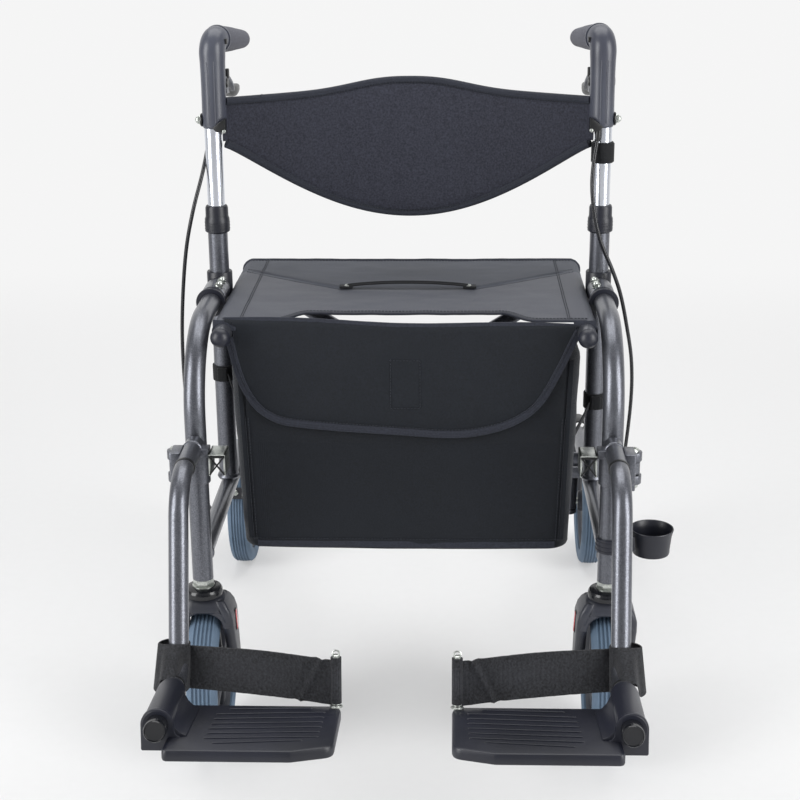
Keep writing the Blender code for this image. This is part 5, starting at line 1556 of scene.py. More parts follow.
def stitch_tree():
    """Stitches along a line: capsules a pitch apart, turned to follow it."""
    tree = bpy.data.node_groups.new("stitch_row", "GeometryNodeTree")
    face = tree.interface
    face.new_socket("Line", in_out="INPUT", socket_type="NodeSocketGeometry")
    for name, value in (("Pitch", 0.0042), ("Stitch length", 0.0029), ("Thread radius", 0.00042)):
        socket = face.new_socket(name, in_out="INPUT", socket_type="NodeSocketFloat")
        socket.default_value = value
    face.new_socket("Thread", in_out="INPUT", socket_type="NodeSocketMaterial")
    face.new_socket("Stitches", in_out="OUTPUT", socket_type="NodeSocketGeometry")
    given = add_node(tree, "NodeGroupInput")
    curve = add_node(tree, "GeometryNodeMeshToCurve", {"Mesh": given.outputs["Line"]})
    even = add_node(
        tree, "GeometryNodeResampleCurve",
        {"Curve": curve.outputs["Curve"], "Length": given.outputs["Pitch"]}, mode="LENGTH",
    )
    stitch = add_node(
        tree, "GeometryNodeMeshCylinder",
        {"Vertices": 6, "Radius": given.outputs["Thread radius"], "Depth": given.outputs["Stitch length"]},
    )
    run = add_node(tree, "GeometryNodeInputTangent")
    aim = add_node(tree, "FunctionNodeAlignRotationToVector", {"Vector": run.outputs["Tangent"]}, axis="Z")
    placed = add_node(
        tree, "GeometryNodeInstanceOnPoints",
        {
            "Points": even.outputs["Curve"], "Instance": stitch.outputs["Mesh"],
            "Rotation": aim.outputs["Rotation"],
        },
    )
    whole = add_node(tree, "GeometryNodeRealizeInstances", {"Geometry": placed.outputs["Instances"]})
    dyed = add_node(
        tree, "GeometryNodeSetMaterial",
        {"Geometry": whole.outputs["Geometry"], "Material": given.outputs["Thread"]},
    )
    out = add_node(tree, "NodeGroupOutput")
    tree.links.new(dyed.outputs["Geometry"], out.inputs["Stitches"])
    return tree


STITCHES = stitch_tree()


def stitched(name, lines, body, pitch=0.0042, length=0.0029, radius=0.00042, thread=None):
    """Rows of stitches along lines of points, made into one plain mesh."""
    mesh = bpy.data.meshes.new(name + "_lines")
    points, edges = [], []
    for line in lines:
        start = len(points)
        points += [tuple(Vector(p) + MIDDLE_SHIFT) for p in line]
        edges += [(start + i, start + i + 1) for i in range(len(line) - 1)]
    mesh.from_pydata(points, edges, [])
    guide = bpy.data.objects.new(name + "_lines", mesh)
    bpy.context.scene.collection.objects.link(guide)
    modifier = guide.modifiers.new("stitch_row", "NODES")
    modifier.node_group = STITCHES
    wanted = {"Pitch": pitch, "Stitch length": length, "Thread radius": radius, "Thread": thread or THREAD}
    for item in STITCHES.interface.items_tree:
        if item.in_out == "INPUT" and item.name in wanted:
            modifier[item.identifier] = wanted[item.name]
    bpy.context.view_layer.update()
    graph = bpy.context.evaluated_depsgraph_get()
    made = bpy.data.meshes.new_from_object(guide.evaluated_get(graph))
    bpy.data.objects.remove(guide)
    made.name = name
    made.polygons.foreach_set("use_smooth", [True] * len(made.polygons))
    obj = bpy.data.objects.new(name, made)
    bpy.context.scene.collection.objects.link(obj)
    if body:
        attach(obj, body)
    return obj


SEAT_WRAP_R = 0.0138
SEAT_REAR_Y = 0.0715
SEAT_FOLD_SHARE = 0.33


def fold_flat(*objects, keep=SEAT_FOLD_SHARE, anchor_x=-0.2255):
    """Gives each piece its own copy of its mesh."""
    for obj in objects:
        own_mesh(obj)


def seat_front_y(x):
    """The front hem, with a tab at each corner that reaches the rail's end."""
    return -0.205 - 0.0365 * step_up(abs(x), 0.118, 0.158)


def seat_pleat_y(x):
    return -0.086 + 0.091 * min(max((abs(x) - 0.078) / 0.139, 0.0), 1.0)


def seat_height(x, y):
    """The taut sling: a little slack in the middle and pulls that run from the grommets to the corners."""
    slack = 0.0026 * (1 - (x / SEAT_RAIL_X) ** 2) * (0.6 + 0.4 * math.cos((y + 0.085) * 14))
    line = y - seat_pleat_y(x)
    ridge = 0.0022 * math.exp(-((line - 0.0035) / 0.0042) ** 2) - 0.0014 * math.exp(
        -((line + 0.003) / 0.003) ** 2
    )
    fade = step_up(abs(x), 0.07, 0.09)
    ripple = 0.0007 * noise.noise(Vector((x * 22, y * 30, 3.1))) + 0.0003 * noise.noise(
        Vector((x * 60, y * 70, 8.2))
    )
    return 0.5552 - slack + ridge * fade + ripple


def seat_columns():
    flat = spread(-SEAT_RAIL_X, SEAT_RAIL_X, 96)
    wrap = [math.radians(a) for a in spread(0, 150, 14)][1:]
    return [
        ("wrap", -1, t) for t in reversed(wrap)
    ] + [("flat", 0, x) for x in flat] + [("wrap", 1, t) for t in wrap]


def seat_point(column, y):
    kind, side, value = column
    if kind == "flat":
        rim = step_up(abs(value), 0.196, SEAT_RAIL_X)
        z = seat_height(value, y) * (1 - rim) + (SEAT_RAIL_Z + SEAT_WRAP_R) * rim
        return Vector((value, y, z))
    loose = 0.0006 * noise.noise(Vector((side, y * 40, value * 3)))
    radius = SEAT_WRAP_R + loose
    return Vector(
        (side * (SEAT_RAIL_X + radius * math.sin(value)), y, SEAT_RAIL_Z + radius * math.cos(value))
    )


def column_x(column):
    return column[2] if column[0] == "flat" else column[1] * SEAT_RAIL_X


def seat_rear_y(x):
    """The rear edge, which is straight across the seat."""
    return SEAT_REAR_Y


def seat_panel(columns, near, far, count=44):
    """The sling's cloth between two lines across the seat."""
    rows = []
    for t in spread(0.0, 1.0, count):
        rows.append([seat_point(c, near(column_x(c)) * (1 - t) + far(column_x(c)) * t) for c in columns])
    return cloth_shell(rows, 0.0011)


def seat_seam(columns, line, inset, rise=0.0003):
    """Points across the seat along a line, a little above or below the cloth."""
    return [seat_point(c, line(column_x(c)) + inset) + Vector((0, 0, rise)) for c in columns]


def make_seat():
    columns = seat_columns()
    rear_form = seat_panel(columns, seat_pleat_y, seat_rear_y)
    rear = piece("seat_rear_panel", rear_form, SEAT_CLOTH, "seat", (), 50)
    front_form = seat_panel(columns, seat_front_y, seat_pleat_y)
    front = piece("seat_front_panel", front_form, SEAT_FRONT_CLOTH, "seat", ["seat_sling"], 50)
    hem_columns = [c for c in columns if c[0] == "flat"]
    hem_path = seat_seam(hem_columns, seat_front_y, 0.0036, -0.0006)
    hem = swept(hem_path, rounded_box(0.0042, 0.0015, 0.0012, 3), up=UP)
    piping = swept(seat_seam(columns[4:-4], seat_rear_y, 0.0, -0.0008), circle(0.0027, 16))
    side_hems = []
    for side in (-1, 1):
        turn = math.radians(150)
        at = Vector(
            (
                side * (SEAT_RAIL_X + SEAT_WRAP_R * math.sin(turn)), 0,
                SEAT_RAIL_Z + SEAT_WRAP_R * math.cos(turn),
            )
        )
        side_hems.append(
            swept([at + Vector((0, y, 0)) for y in spread(-0.24, SEAT_REAR_Y, 24)], circle(0.0017, 12))
        )
    edge = piece("seat_binding", joined([hem, piping, *side_hems]), BINDING, "seat", (), 50)

    lift = []
    half = 0.078
    for x in spread(-half, half, 32):
        share = 1 - (x / half) ** 2
        lift.append(Vector((x, -0.082 + 0.0015 * share, 0.5572 + 0.0042 * max(share, 0.0) ** 0.8)))
    strap = swept(lift, rounded_box(0.005, 0.001, 0.0008, 3), up=UP)
    ribs = []
    for shift in (-0.003, 0.0, 0.003):
        ribs.append(swept([p + Vector((0, shift, 0.001)) for p in lift], circle(0.0006, 8)))
    ends = []
    for side in (-1, 1):
        middle = side * 0.0795
        ends.append(slab((middle - 0.0085, -0.0878, 0.5545), (middle + 0.0085, -0.0758, 0.5572), 0.0006))
    handle = piece(
        "seat_lift_webbing", joined([strap, *ribs, *ends]), WEBBING, "seat", ["seat_lift_strap"],
        45,
    )
    rings = []
    for side in (-1, 1):
        rings.append(
            ring_turned(
                [
                    (0.0026, 0.0), (0.005, 0.0), (0.0053, 0.0007), (0.0046, 0.0015), (0.0036, 0.0016),
                    (0.0027, 0.001),
                ],
                (side * 0.0765, -0.0818, 0.557), UP, 32,
            )
        )
    eyelets = piece("seat_eyelets", joined(rings), ZINC, "seat", ())

    lines = [seat_seam(hem_columns, seat_front_y, inset) for inset in (0.009, 0.0115)]
    lines.append(seat_seam(hem_columns, seat_rear_y, -0.005))
    for side in (-1, 1):
        v_columns = [c for c in hem_columns if side * column_x(c) > 0.082]
        for inset in (-0.0045, 0.0085):
            lines.append(seat_seam(v_columns, seat_pleat_y, inset))
        for x in (0.196, 0.1985):
            column = ("flat", 0, side * x)
            lines.append([seat_point(column, y) + Vector((0, 0, 0.0003)) for y in spread(-0.232, 0.066, 60)])
    threads = stitched("seat_stitching", lines, "seat")
    box_lines = []
    for side in (-1, 1):
        near, far, z = side * 0.082, side * 0.0875, 0.5575
        box_lines.append([(near, -0.087, z), (far, -0.087, z), (far, -0.0768, z), (near, -0.0768, z)])
    strap_threads = stitched(
        "lift_webbing_stitching", box_lines, "seat", 0.0026, 0.0018, 0.0003, THREAD
    )
    fold_flat(front, rear, edge, handle, eyelets, threads, strap_threads)


BAG_FRONT_Y = -0.24
BAG_REAR_Y = -0.042
BAG_BOTTOM_Z = 0.2565
BAG_HEIGHT = 0.2875
BAG_HALF_X = 0.2035
BAG_MIDDLE_Y = (BAG_FRONT_Y + BAG_REAR_Y) / 2
BAG_HALF_Y = (BAG_REAR_Y - BAG_FRONT_Y) / 2


def bag_top_z(y):
    """The mouth falls from the front panel to the lower back panel."""
    return 0.544 - 0.05 * step_up(y, -0.23, -0.1)


def bag_belly(t):
    return 0.0032 * math.sin(math.pi * min(t * 1.15, 1.0)) + 0.003 * math.exp(-((t - 0.1) / 0.08) ** 2)


def bag_wave(x, y, t):
    wide_wave = 0.0016 * noise.noise(Vector((x * 11, t * 7, 2.0 + y * 6)))
    return wide_wave + 0.0008 * noise.noise(Vector((x * 34, t * 16, 5.0 + y * 15)))


def bag_ring(t, inset, steps=9):
    """One level of the bag, from its bottom at 0 to its mouth at 1."""
    out = []
    level_z = BAG_BOTTOM_Z + BAG_HEIGHT * t
    half = BAG_HALF_X + 0.0105 * t - 0.0085 * step_up(level_z, 0.505, 0.535)
    corner = 0.026
    outline = rounded_box(half - inset, BAG_HALF_Y - inset, max(corner - inset, 0.004), steps)
    dense = []
    for i, point in enumerate(outline):
        after = outline[(i + 1) % len(outline)]
        run = Vector(after) - Vector(point)
        pieces = max(1, round(run.length / 0.012))
        for k in range(pieces):
            dense.append(Vector(point) + run * k / pieces)
    for x, y in dense:
        front = step_up(-y, 0.0, BAG_HALF_Y)
        wide = 1 - (abs(x) / (half + 0.001)) ** 2.4
        wave = bag_wave(x, y, t)
        push = (bag_belly(t) * 0.9 + wave) * wide
        side_push = (0.0012 * math.sin(math.pi * t) + wave * 0.6) * (1 - wide)
        yy = BAG_MIDDLE_Y + y + (-push if y < 0 else push * 0.6)
        xx = x + math.copysign(side_push, x)
        z = BAG_BOTTOM_Z + (bag_top_z(BAG_MIDDLE_Y + y) - BAG_BOTTOM_Z) * t
        sag = 0.003 * (1 - (x / half) ** 2) * (1 - t) * 0.6
        out.append(
            Vector((xx, yy, z - sag * front + 0.0012 * noise.noise(Vector((x * 9, y * 9, t * 5))) * (1 - t)))
        )
    return out


def bag_body():
    """A sewn shell: up the outside from the bottom, over the mouth and down the inside."""
    rings = []
    cy = BAG_MIDDLE_Y
    for inset in (0.085, 0.06, 0.035, 0.018, 0.009, 0.004, 0.001):
        flat_ring = bag_ring(0.0, 0.0)
        share_x = 1 - inset / BAG_HALF_X
        share_y = 1 - inset / BAG_HALF_Y
        rise = 0.0
        if inset < 0.012:
            rise = 0.0035 * (1 - inset / 0.012) ** 2
        rings.append([Vector((p.x * share_x, cy + (p.y - cy) * share_y, p.z + rise)) for p in flat_ring])
    levels = [0.022, 0.035, 0.055] + spread(0.09, 0.96, 34) + [0.985, 1.0]
    rings += [bag_ring(t, 0.0) for t in levels]
    wall = 0.0018
    inner_levels = [1.0, 0.985] + spread(0.93, 0.08, 16) + [0.03]
    for t in inner_levels:
        ring = bag_ring(t, 0.0)
        rings.append(
            [
                Vector((p.x * (1 - wall / BAG_HALF_X), cy + (p.y - cy) * (1 - wall / BAG_HALF_Y), p.z))
                for p in ring
            ]
        )
    last = rings[-1]
    for share in (0.7, 0.35):
        rings.append([Vector((p.x * share, cy + (p.y - cy) * share, p.z)) for p in last])
    return ring_skin(rings)


FLAP_LOW = [
    (-0.215, 0.533), (-0.211, 0.513), (-0.202, 0.479), (-0.186, 0.449), (-0.164, 0.431), (-0.14, 0.4235),
    (-0.007, 0.4135), (0.065, 0.41), (0.114, 0.418), (0.148, 0.434), (0.17, 0.456), (0.192, 0.497),
    (0.205, 0.526), (0.212, 0.54),
]


def flap_top_z(x):
    return 0.5545 - 0.02 * x - 0.0018 * math.cos(x * 22)


def flap_point(x, t, lift=0.0):
    low = blend_points(FLAP_LOW, x)
    z = flap_top_z(x) * (1 - t) + low * t
    wide = 1 - (abs(x) / 0.216) ** 2.4
    belly = 0.003 + 0.0045 * math.sin(math.pi * min(t, 1.0) * 0.62)
    wave = 0.0014 * noise.noise(Vector((x * 13, z * 15, 1.5))) + 0.0006 * noise.noise(
        Vector((x * 40, z * 34, 4.0))
    )
    hollow = 0.0016 * math.sin(x * 17 + 1.0) * (1 - t)
    y = BAG_FRONT_Y - 0.004 - (belly + wave) * wide - hollow * wide - lift
    tuck = step_up(t, 0.06, 0.0) if t < 0.06 else 0.0
    return Vector((x, y + 0.003 * tuck, z))


def make_bag():
    body = piece("bag_shell", bag_body(), BAG_CLOTH, "seat", ["storage_bag"], 60)

    def front_point(x, z, lift):
        t = (z - BAG_BOTTOM_Z) / BAG_HEIGHT
        wide = 1 - (abs(x) / 0.21) ** 2.4
        push = (bag_belly(t) * 0.9 + bag_wave(x, -BAG_HALF_Y, t)) * wide
        return Vector((x, BAG_FRONT_Y - push - lift, z))

    columns = spread(-0.215, 0.212, 88)
    rows = [[flap_point(x, 1 - i / 48) for x in columns] for i in range(49)]
    flap = piece("bag_flap", cloth_shell(rows, 0.0012), BAG_CLOTH, "seat", (), 55)
    hem_path = []
    for x in columns:
        slope = (blend_points(FLAP_LOW, x + 0.002) - blend_points(FLAP_LOW, x - 0.002)) / 0.004
        lean = Vector((-slope, 0, 1)).normalized()
        hem_path.append(flap_point(x, 1.0, 0.0002) + lean * 0.0046)
    low_hem = swept(hem_path, rounded_box(0.0048, 0.0013, 0.0011, 3), up=Vector((0, -1, 0)))
    top_path = [flap_point(x, 0.0, 0.0004) - Vector((0, 0, 0.0045)) for x in columns]
    top_hem = swept(top_path, rounded_box(0.005, 0.0013, 0.0011, 3), up=Vector((0, -1, 0)))
    base_path = [front_point(x, 0.2645, -0.0004) for x in spread(-0.186, 0.186, 60)]
    base_hem = swept(base_path, rounded_box(0.0045, 0.0009, 0.0008, 3), up=Vector((0, -1, 0)))
    side_tapes = []
    for side in (-1, 1):
        tape = [
            front_point(side * (0.1935 + 0.0085 * (z - 0.27) / 0.26), z, -0.001)
            for z in spread(0.272, 0.505, 30)
        ]
        side_tapes.append(swept(tape, rounded_box(0.003, 0.0008, 0.0007, 3), up=Vector((0, -1, 0))))
    hems = piece("bag_binding", joined([low_hem, top_hem, base_hem]), BINDING, "seat", (), 55)
    tapes = piece("bag_side_tapes", joined(side_tapes), BAG_CLOTH, "seat", (), 55)

    lift = 0.0018
    lines = [[p + Vector((0, -lift, 0.0062)) for p in hem_path]]
    lines.append([p + Vector((0, -lift, -0.0062)) for p in top_path])
    for x in (-0.2085, -0.205):
        lines.append([flap_point(x, t, 0.0007) for t in spread(0.12, 0.8, 24)])
    lines.append([flap_point(0.204, t, 0.0007) for t in spread(0.15, 0.6, 10)])
    patch = []
    for x, z in ((-0.0165, 0.508), (0.019, 0.508), (0.019, 0.448), (-0.0165, 0.448), (-0.0165, 0.508)):
        low = blend_points(FLAP_LOW, x)
        t = (flap_top_z(x) - z) / (flap_top_z(x) - low)
        patch.append((x, t))
    square = []
    for (x0, t0), (x1, t1) in zip(patch, patch[1:]):
        for k in range(12):
            share = k / 12
            square.append(flap_point(x0 + (x1 - x0) * share, t0 + (t1 - t0) * share, 0.0006))
    square.append(flap_point(*patch[0], 0.0006))
    lines.append(square)
    lines.append([front_point(x, 0.272, 0.0006) for x in spread(-0.19, 0.19, 60)])
    for side in (-1, 1):
        for inset in (0.0, 0.0035):
            lines.append(
                [
                    front_point(side * (0.19 - inset + 0.0085 * (z - 0.27) / 0.26), z, 0.0006)
                    for z in spread(0.272, 0.43, 30)
                ]
            )
    threads = stitched("bag_stitching", lines, "seat", 0.004, 0.0028, 0.00038, THREAD)
    pads = []
    for side in (-1, 1):
        x0, x1 = side * 0.202, side * 0.229
        rows = []
        for i in range(9):
            t = i / 8
            rows.append(
                [
                    Vector(
                        (
                            x0 + (x1 - x0) * k / 8, -0.2445 + 0.004 * t - 0.0015 * math.sin(math.pi * k / 8),
                            0.543 + 0.0125 * t,
                        )
                    )
                    for k in range(9)
                ]
            )
        pads.append(cloth_shell(rows, 0.0014))
    tabs = piece("bag_corner_tabs", joined(pads), BINDING, "seat", (), 55)
    fold_flat(body, flap, hems, tapes, threads, tabs)

    for side, sign, loop_z, low in (
        ("left", -1, 0.433, Vector((-0.2105, -0.135, 0.388))),
        ("right", 1, 0.395, Vector((0.2115, -0.13, 0.364))),
    ):
        post = Vector((sign * FRAME_X, UPRIGHT_Y, loop_z))
        loop = ring_turned(
            [
                (0.0129, -0.0105), (0.0146, -0.0105), (0.0149, -0.0098), (0.0149, 0.0098), (0.0146, 0.0105),
                (0.0129, 0.0105),
            ],
            post, UP, 40,
        )
        tongue = slab(
            (post.x - 0.0065, post.y - 0.0185, post.z - 0.0085),
            (post.x + 0.0065, post.y - 0.014, post.z + 0.0085), 0.0007,
        )
        start = post + Vector((-sign * 0.008, -0.015, -0.002))
        mid = (start + low) / 2 + Vector((0, 0.0, -0.0035))
        path = []
        for t in spread(0, 1, 14):
            path.append(start * (1 - t) ** 2 + mid * 2 * t * (1 - t) + low * t**2)
        tie = swept(path, rounded_box(0.0045, 0.0008, 0.0007, 3), up=Vector((sign, 0.3, 0.2)))
        piece(f"{side}_bag_tie", joined([loop, tongue, tie]), WEBBING, f"{side}_frame", (), 50)


make_seat()
make_bag()


BACK_HALF = 0.2304


def back_low(s):
    return 0.732 - 0.11 * max(1 - s * s, 0.0) ** 1.15


def back_high(s):
    """The top edge: level at the ends, then a hump over the middle."""
    return 0.7925 + 0.015 * math.exp(-(abs(s) / 0.38) ** 2.6) + 0.002 * s**6


def back_depth(s):
    """The curve seen from above, from one handle back to the other."""
    return UPRIGHT_Y + 0.106 * (1 - s * s)


def back_half_thickness(s):
    return 0.0032 + 0.004 * (1 - s * s)


def back_core():
    """The foam before it swells: a thin curved pad a little inside its binding."""
    rows = []
    for i in range(81):
        s = -1.022 + 2.044 * i / 80
        low, high = back_low(s) + 0.004, back_high(s) - 0.004
        half = back_half_thickness(s) - 0.0008
        ring = []
        for side, order in ((-1, spread(0.0, 1.0, 14)), (1, spread(1.0, 0.0, 14))):
            for t in order:
                edge = min(t, 1 - t) / 0.06
                thin = 0.55 + 0.45 * math.sqrt(max(0.0, 1 - (1 - min(edge, 1.0)) ** 2))
                ring.append(
                    Vector((s * BACK_HALF, back_depth(s) + side * half * thin, low + (high - low) * t))
                )
        rows.append(ring)
    return ring_skin(rows)


def swell(obj, voxel, cap, pressure, frames):
    """Cloth under pressure swells the pad. No point moves further than the cap."""
    remesh = obj.modifiers.new("even_grid", "REMESH")
    remesh.mode = "VOXEL"
    remesh.voxel_size = voxel
    bpy.context.view_layer.update()
    graph = bpy.context.evaluated_depsgraph_get()
    even = bpy.data.meshes.new_from_object(obj.evaluated_get(graph))
    obj.modifiers.clear()
    obj.data = even
    start = [v.co.copy() for v in even.vertices]
    rim = obj.vertex_groups.new(name="held_rim")
    for vertex in even.vertices:
        place = vertex.co - MIDDLE_SHIFT
        s = min(max(place.x / BACK_HALF, -1.0), 1.0)
        edge = min(place.z - back_low(s), back_high(s) - place.z, (1 - abs(s)) * BACK_HALF + 0.002)
        rim.add([vertex.index], 1.0 if edge < 0.0105 else 0.0, "REPLACE")
    cloth = obj.modifiers.new("cloth", "CLOTH")
    cloth.settings.quality = 5
    cloth.settings.mass = 0.25
    cloth.settings.tension_stiffness = 30
    cloth.settings.compression_stiffness = 30
    cloth.settings.bending_stiffness = 4
    cloth.settings.use_pressure = True
    cloth.settings.uniform_pressure_force = pressure
    cloth.settings.effector_weights.gravity = 0
    cloth.settings.vertex_group_mass = "held_rim"
    cloth.collision_settings.use_self_collision = False
    scene = bpy.context.scene
    cloth.point_cache.frame_start = 1
    cloth.point_cache.frame_end = frames
    for number in range(1, frames + 1):
        scene.frame_set(number)
    graph = bpy.context.evaluated_depsgraph_get()
    swollen = obj.evaluated_get(graph).data
    places = [v.co.copy() for v in swollen.vertices]
    obj.modifiers.clear()
    scene.frame_set(1)
    for vertex, before, after in zip(even.vertices, start, places):
        move = after - before
        if move.length > cap:
            move *= cap / move.length
        vertex.co = before + move
    even.update()


def cloth_coordinates(mesh):
    """Own coordinates for the pad: its length round the curve and its height, in metres."""
    reach, steps = 1.05, 400
    table = [(-reach * BACK_HALF, 0.0)]
    total = 0.0
    before = Vector((-reach * BACK_HALF, back_depth(-reach)))
    for i in range(1, steps + 1):
        s = -reach + 2 * reach * i / steps
        here = Vector((s * BACK_HALF, back_depth(s)))
        total += (here - before).length
        table.append((here.x, total))
        before = here
    width = 2 * reach * BACK_HALF / steps
    layer = mesh.uv_layers.get("maker") or mesh.uv_layers.new(name="maker")
    values = []
    for loop in mesh.loops:
        place = mesh.vertices[loop.vertex_index].co
        index = min(max(int((place.x + reach * BACK_HALF) / width), 0), steps - 1)
        share = (place.x - table[index][0]) / width
        u = table[index][1] + (table[index + 1][1] - table[index][1]) * share
        values += [u, place.z]
    layer.uv.foreach_set("vector", values)


def make_backrest():
    mesh = mesh_from("backrest_pad", back_core(), BACK_CLOTH, 180)
    pad = bpy.data.objects.new("backrest_pad", mesh)
    bpy.context.scene.collection.objects.link(pad)
    swell(pad, 0.0042, 0.005, 3.0, 20)
    pad.vertex_groups.clear()
    smooth = pad.modifiers.new("even_out", "SMOOTH")
    smooth.factor = 0.5
    smooth.iterations = 6
    finer = pad.modifiers.new("finer", "SUBSURF")
    finer.levels = finer.render_levels = 1
    bpy.context.view_layer.update()
    graph = bpy.context.evaluated_depsgraph_get()
    done = bpy.data.meshes.new_from_object(pad.evaluated_get(graph))
    pad.modifiers.clear()
    pad.data = done
    cloth = pad.data
    for vertex in cloth.vertices:
        place = vertex.co - MIDDLE_SHIFT
        pull = noise.noise(Vector((place.x * 9, place.z * 14, 2.2))) * 0.0011
        pull += noise.noise(Vector((place.x * 32, place.z * 40, 6.2))) * 0.0004
        vertex.co.y += pull
    cloth_coordinates(cloth)
    cloth.materials.clear()
    cloth.materials.append(BACK_CLOTH)
    cloth.polygons.foreach_set("use_smooth", [True] * len(cloth.polygons))
    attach(pad, "left_handle")
    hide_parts("backrest_band")

    section = rounded_box(0.005, 0.0046, 0.0036, 4)
    tapes = []
    for edge, sign in ((back_high, -1), (back_low, 1)):
        line = []
        for s in spread(-1.0, 1.0, 80):
            line.append(Vector((s * BACK_HALF, back_depth(s), edge(s) + sign * 0.0042)))
        tapes.append(swept(line, [(b, a) for a, b in section], up=UP))
    join_at = Vector((-0.188, back_depth(-0.816) - 0.0002, back_high(-0.816)))
    lap = slab(
        join_at + Vector((-0.001, -0.0052, -0.0092)), join_at + Vector((0.001, 0.0052, 0.0009)), 0.0004
    )
    binding = piece("backrest_binding", joined([*tapes, lap]), BINDING, "left_handle", (), 50)
    lines = []
    for edge, sign in ((back_high, -1), (back_low, 1)):
        for inset, side in ((0.008, -1), (0.0066, -1), (0.008, 1)):
            row = []
            for s in spread(-0.995, 0.995, 80):
                row.append(Vector((s * BACK_HALF, back_depth(s) + side * 0.0049, edge(s) + sign * inset)))
            lines.append(row)
    threads = stitched("backrest_stitching", lines, "left_handle", 0.0038, 0.0026, 0.00036)
    fold_flat(pad, binding, threads, keep=0.367, anchor_x=-0.2304)
    for side in (-1, 1):
        middle = Vector((side * 0.23, UPRIGHT_Y + 0.0055, 0.762))
        half = Vector((0.005, 0.0025, 0.0145))
        tongue = slab(middle - half, middle + half, 0.0008)
        name = "right" if side > 0 else "left"
        piece(f"{name}_backrest_tongue", tongue, WEBBING, f"{name}_handle", ())


LEFT_CABLE = [
    (-0.254, -0.043, 0.7577), (-0.255, -0.044, 0.74), (-0.262, -0.06, 0.702), (-0.275, -0.075, 0.653),
    (-0.287, -0.072, 0.6), (-0.297, -0.06, 0.529), (-0.305, -0.034, 0.46), (-0.311, 0.004, 0.38),
    (-0.312, 0.045, 0.28), (-0.306, 0.09, 0.19), (-0.296, 0.122, 0.156), (-0.282, 0.142, 0.164),
    (-0.27, 0.156, 0.196), (-0.262, 0.167, 0.212), (-0.26, 0.1754, 0.2134),
]
RIGHT_CABLE = [
    (0.24, -0.0682, 0.7577), (0.2388, -0.071, 0.744), (0.2345, -0.076, 0.715), (0.233, -0.081, 0.685),
    (0.237, -0.084, 0.65), (0.246, -0.085, 0.615), (0.262, -0.082, 0.578), (0.274, -0.076, 0.545),
    (0.285, -0.062, 0.5), (0.297, -0.032, 0.44), (0.302, 0.0, 0.37), (0.3, 0.042, 0.27), (0.295, 0.085, 0.19),
    (0.287, 0.12, 0.158), (0.278, 0.14, 0.164), (0.269, 0.156, 0.196), (0.262, 0.167, 0.212),
    (0.26, 0.1754, 0.2134),
]


def smooth_route(points, steps):
    points = [Vector(p) for p in points]
    ends = [2 * points[0] - points[1]] + points + [2 * points[-1] - points[-2]]
    out = [points[0]]
    for a, b, c, d in zip(ends, ends[1:], ends[2:], ends[3:]):
        for i in range(1, steps + 1):
            t = i / steps
            square = (2 * a - 5 * b + 4 * c - d) * t**2
            cube = (3 * b - a - 3 * c + d) * t**3
            out.append(0.5 * (2 * b + (c - a) * t + square + cube))
    return out


def make_cables():
    for side, route in (("left", LEFT_CABLE), ("right", RIGHT_CABLE)):
        path = smooth_route(route, 10)
        jacket = piece(
            f"{side}_brake_cable_housing", swept(path, circle(0.0025, 16)), CABLE, None,
            [f"{side}_brake_cable"], 50,
        )
        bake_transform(jacket)
        down = (path[4] - path[0]).normalized()
        top = turned(
            [
                (0.003, -0.004), (0.0041, -0.003), (0.0041, 0.006), (0.0036, 0.009), (0.0029, 0.014),
                (0.0026, 0.0145),
            ],
            path[0] + down * 0.002, down, 24,
        )
        piece(f"{side}_cable_sleeve", top, BLACK_ENAMEL, f"{side}_handle", ())
        back = (path[-5] - path[-1]).normalized()
        end = turned(
            [(0.0028, 0.0), (0.0038, 0.0004), (0.0038, 0.0095), (0.0032, 0.0125), (0.0026, 0.013)], path[-1],
            back, 24,
        )
        piece(f"{side}_cable_ferrule", end, ZINC, f"{side}_frame", ())


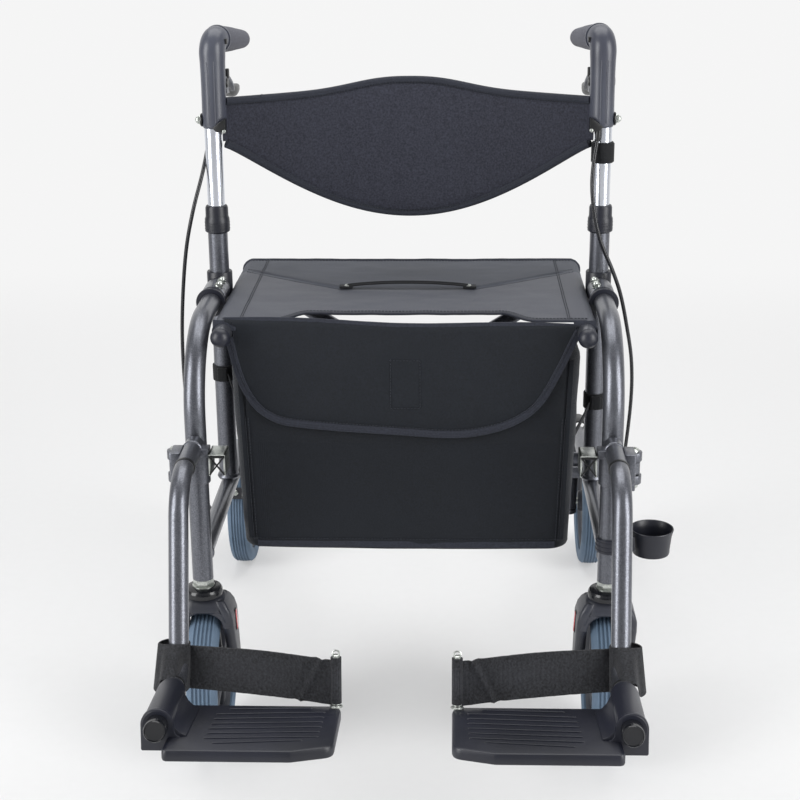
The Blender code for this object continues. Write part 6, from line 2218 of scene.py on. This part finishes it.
def make_cane_holder():
    centre = Vector((0.302, -0.27, 0.015))
    profile = [
        (0.0, 0.2531), (0.0205, 0.2531), (0.0222, 0.2537), (0.0226, 0.2552), (0.0232, 0.265), (0.0245, 0.277),
        (0.0262, 0.2838), (0.0266, 0.2852), (0.0262, 0.286), (0.0252, 0.2857), (0.0238, 0.2838),
        (0.0222, 0.277), (0.0209, 0.265), (0.0201, 0.2562), (0.019, 0.2556), (0.0, 0.2555),
    ]
    cup = turned(profile, centre, UP, 64)
    band_profile = sleeve_profile(0.0128, 0.0156, 0.2842, 0.302, 0.0006, 0.0006)
    leg = Vector((FRAME_X, LEG_Y, 0.0))
    band = ring_turned(band_profile, leg, UP, 48)
    ribs = []
    for z in (0.2875, 0.293, 0.2985):
        ribs.append(ring_turned(ridge_profile(0.015, 0.0161, z, 0.0008, 0.0004), leg, UP, 48))
    out = Vector((centre.x - leg.x, centre.y - leg.y, 0.0)).normalized()
    rings = []
    for t in spread(0.0, 1.0, 6):
        middle = leg + out * (0.014 + (0.0355 - 0.014) * t)
        top = 0.301 - 0.005 * step_up(t, 0.1, 0.9)
        low = 0.286 - 0.01 * step_up(t, 0.0, 0.8)
        across = Vector((-out.y, out.x, 0))
        rings.append(
            [
                Vector((middle.x, middle.y, (top + low) / 2)) + across * a + UP * b
                for a, b in rounded_box(0.0036, (top - low) / 2, 0.0018, 3)
            ]
        )
    web = ring_skin(rings)
    piece(
        "cane_cup_body", joined([cup, band, *ribs, web]), CHARCOAL, "right_frame", ["cane_cup"],
    )
    post = Vector((FRAME_X, UPRIGHT_Y, 0.0))
    strap = ring_turned(sleeve_profile(0.0115, 0.0139, 0.7122, 0.738, 0.0005, 0.0008), post, UP, 48)
    tail_path = [
        Vector((FRAME_X + 0.0142 * math.cos(a), UPRIGHT_Y + 0.0142 * math.sin(a), 0.725))
        for a in [math.radians(d) for d in spread(-170, -10, 16)]
    ]
    tail = swept(tail_path, rounded_box(0.0007, 0.0118, 0.0005, 2), up=UP)
    edge = []
    for z in (0.7145, 0.7357):
        edge.append(ring_turned([(0.0137, z - 0.0006), (0.0144, z), (0.0137, z + 0.0006)], post, UP, 40))
    piece(
        "cane_hold_strap", joined([strap, tail, *edge]), WEBBING, "right_handle", ["cane_strap"],
        50,
    )


make_backrest()
make_cables()
make_cane_holder()
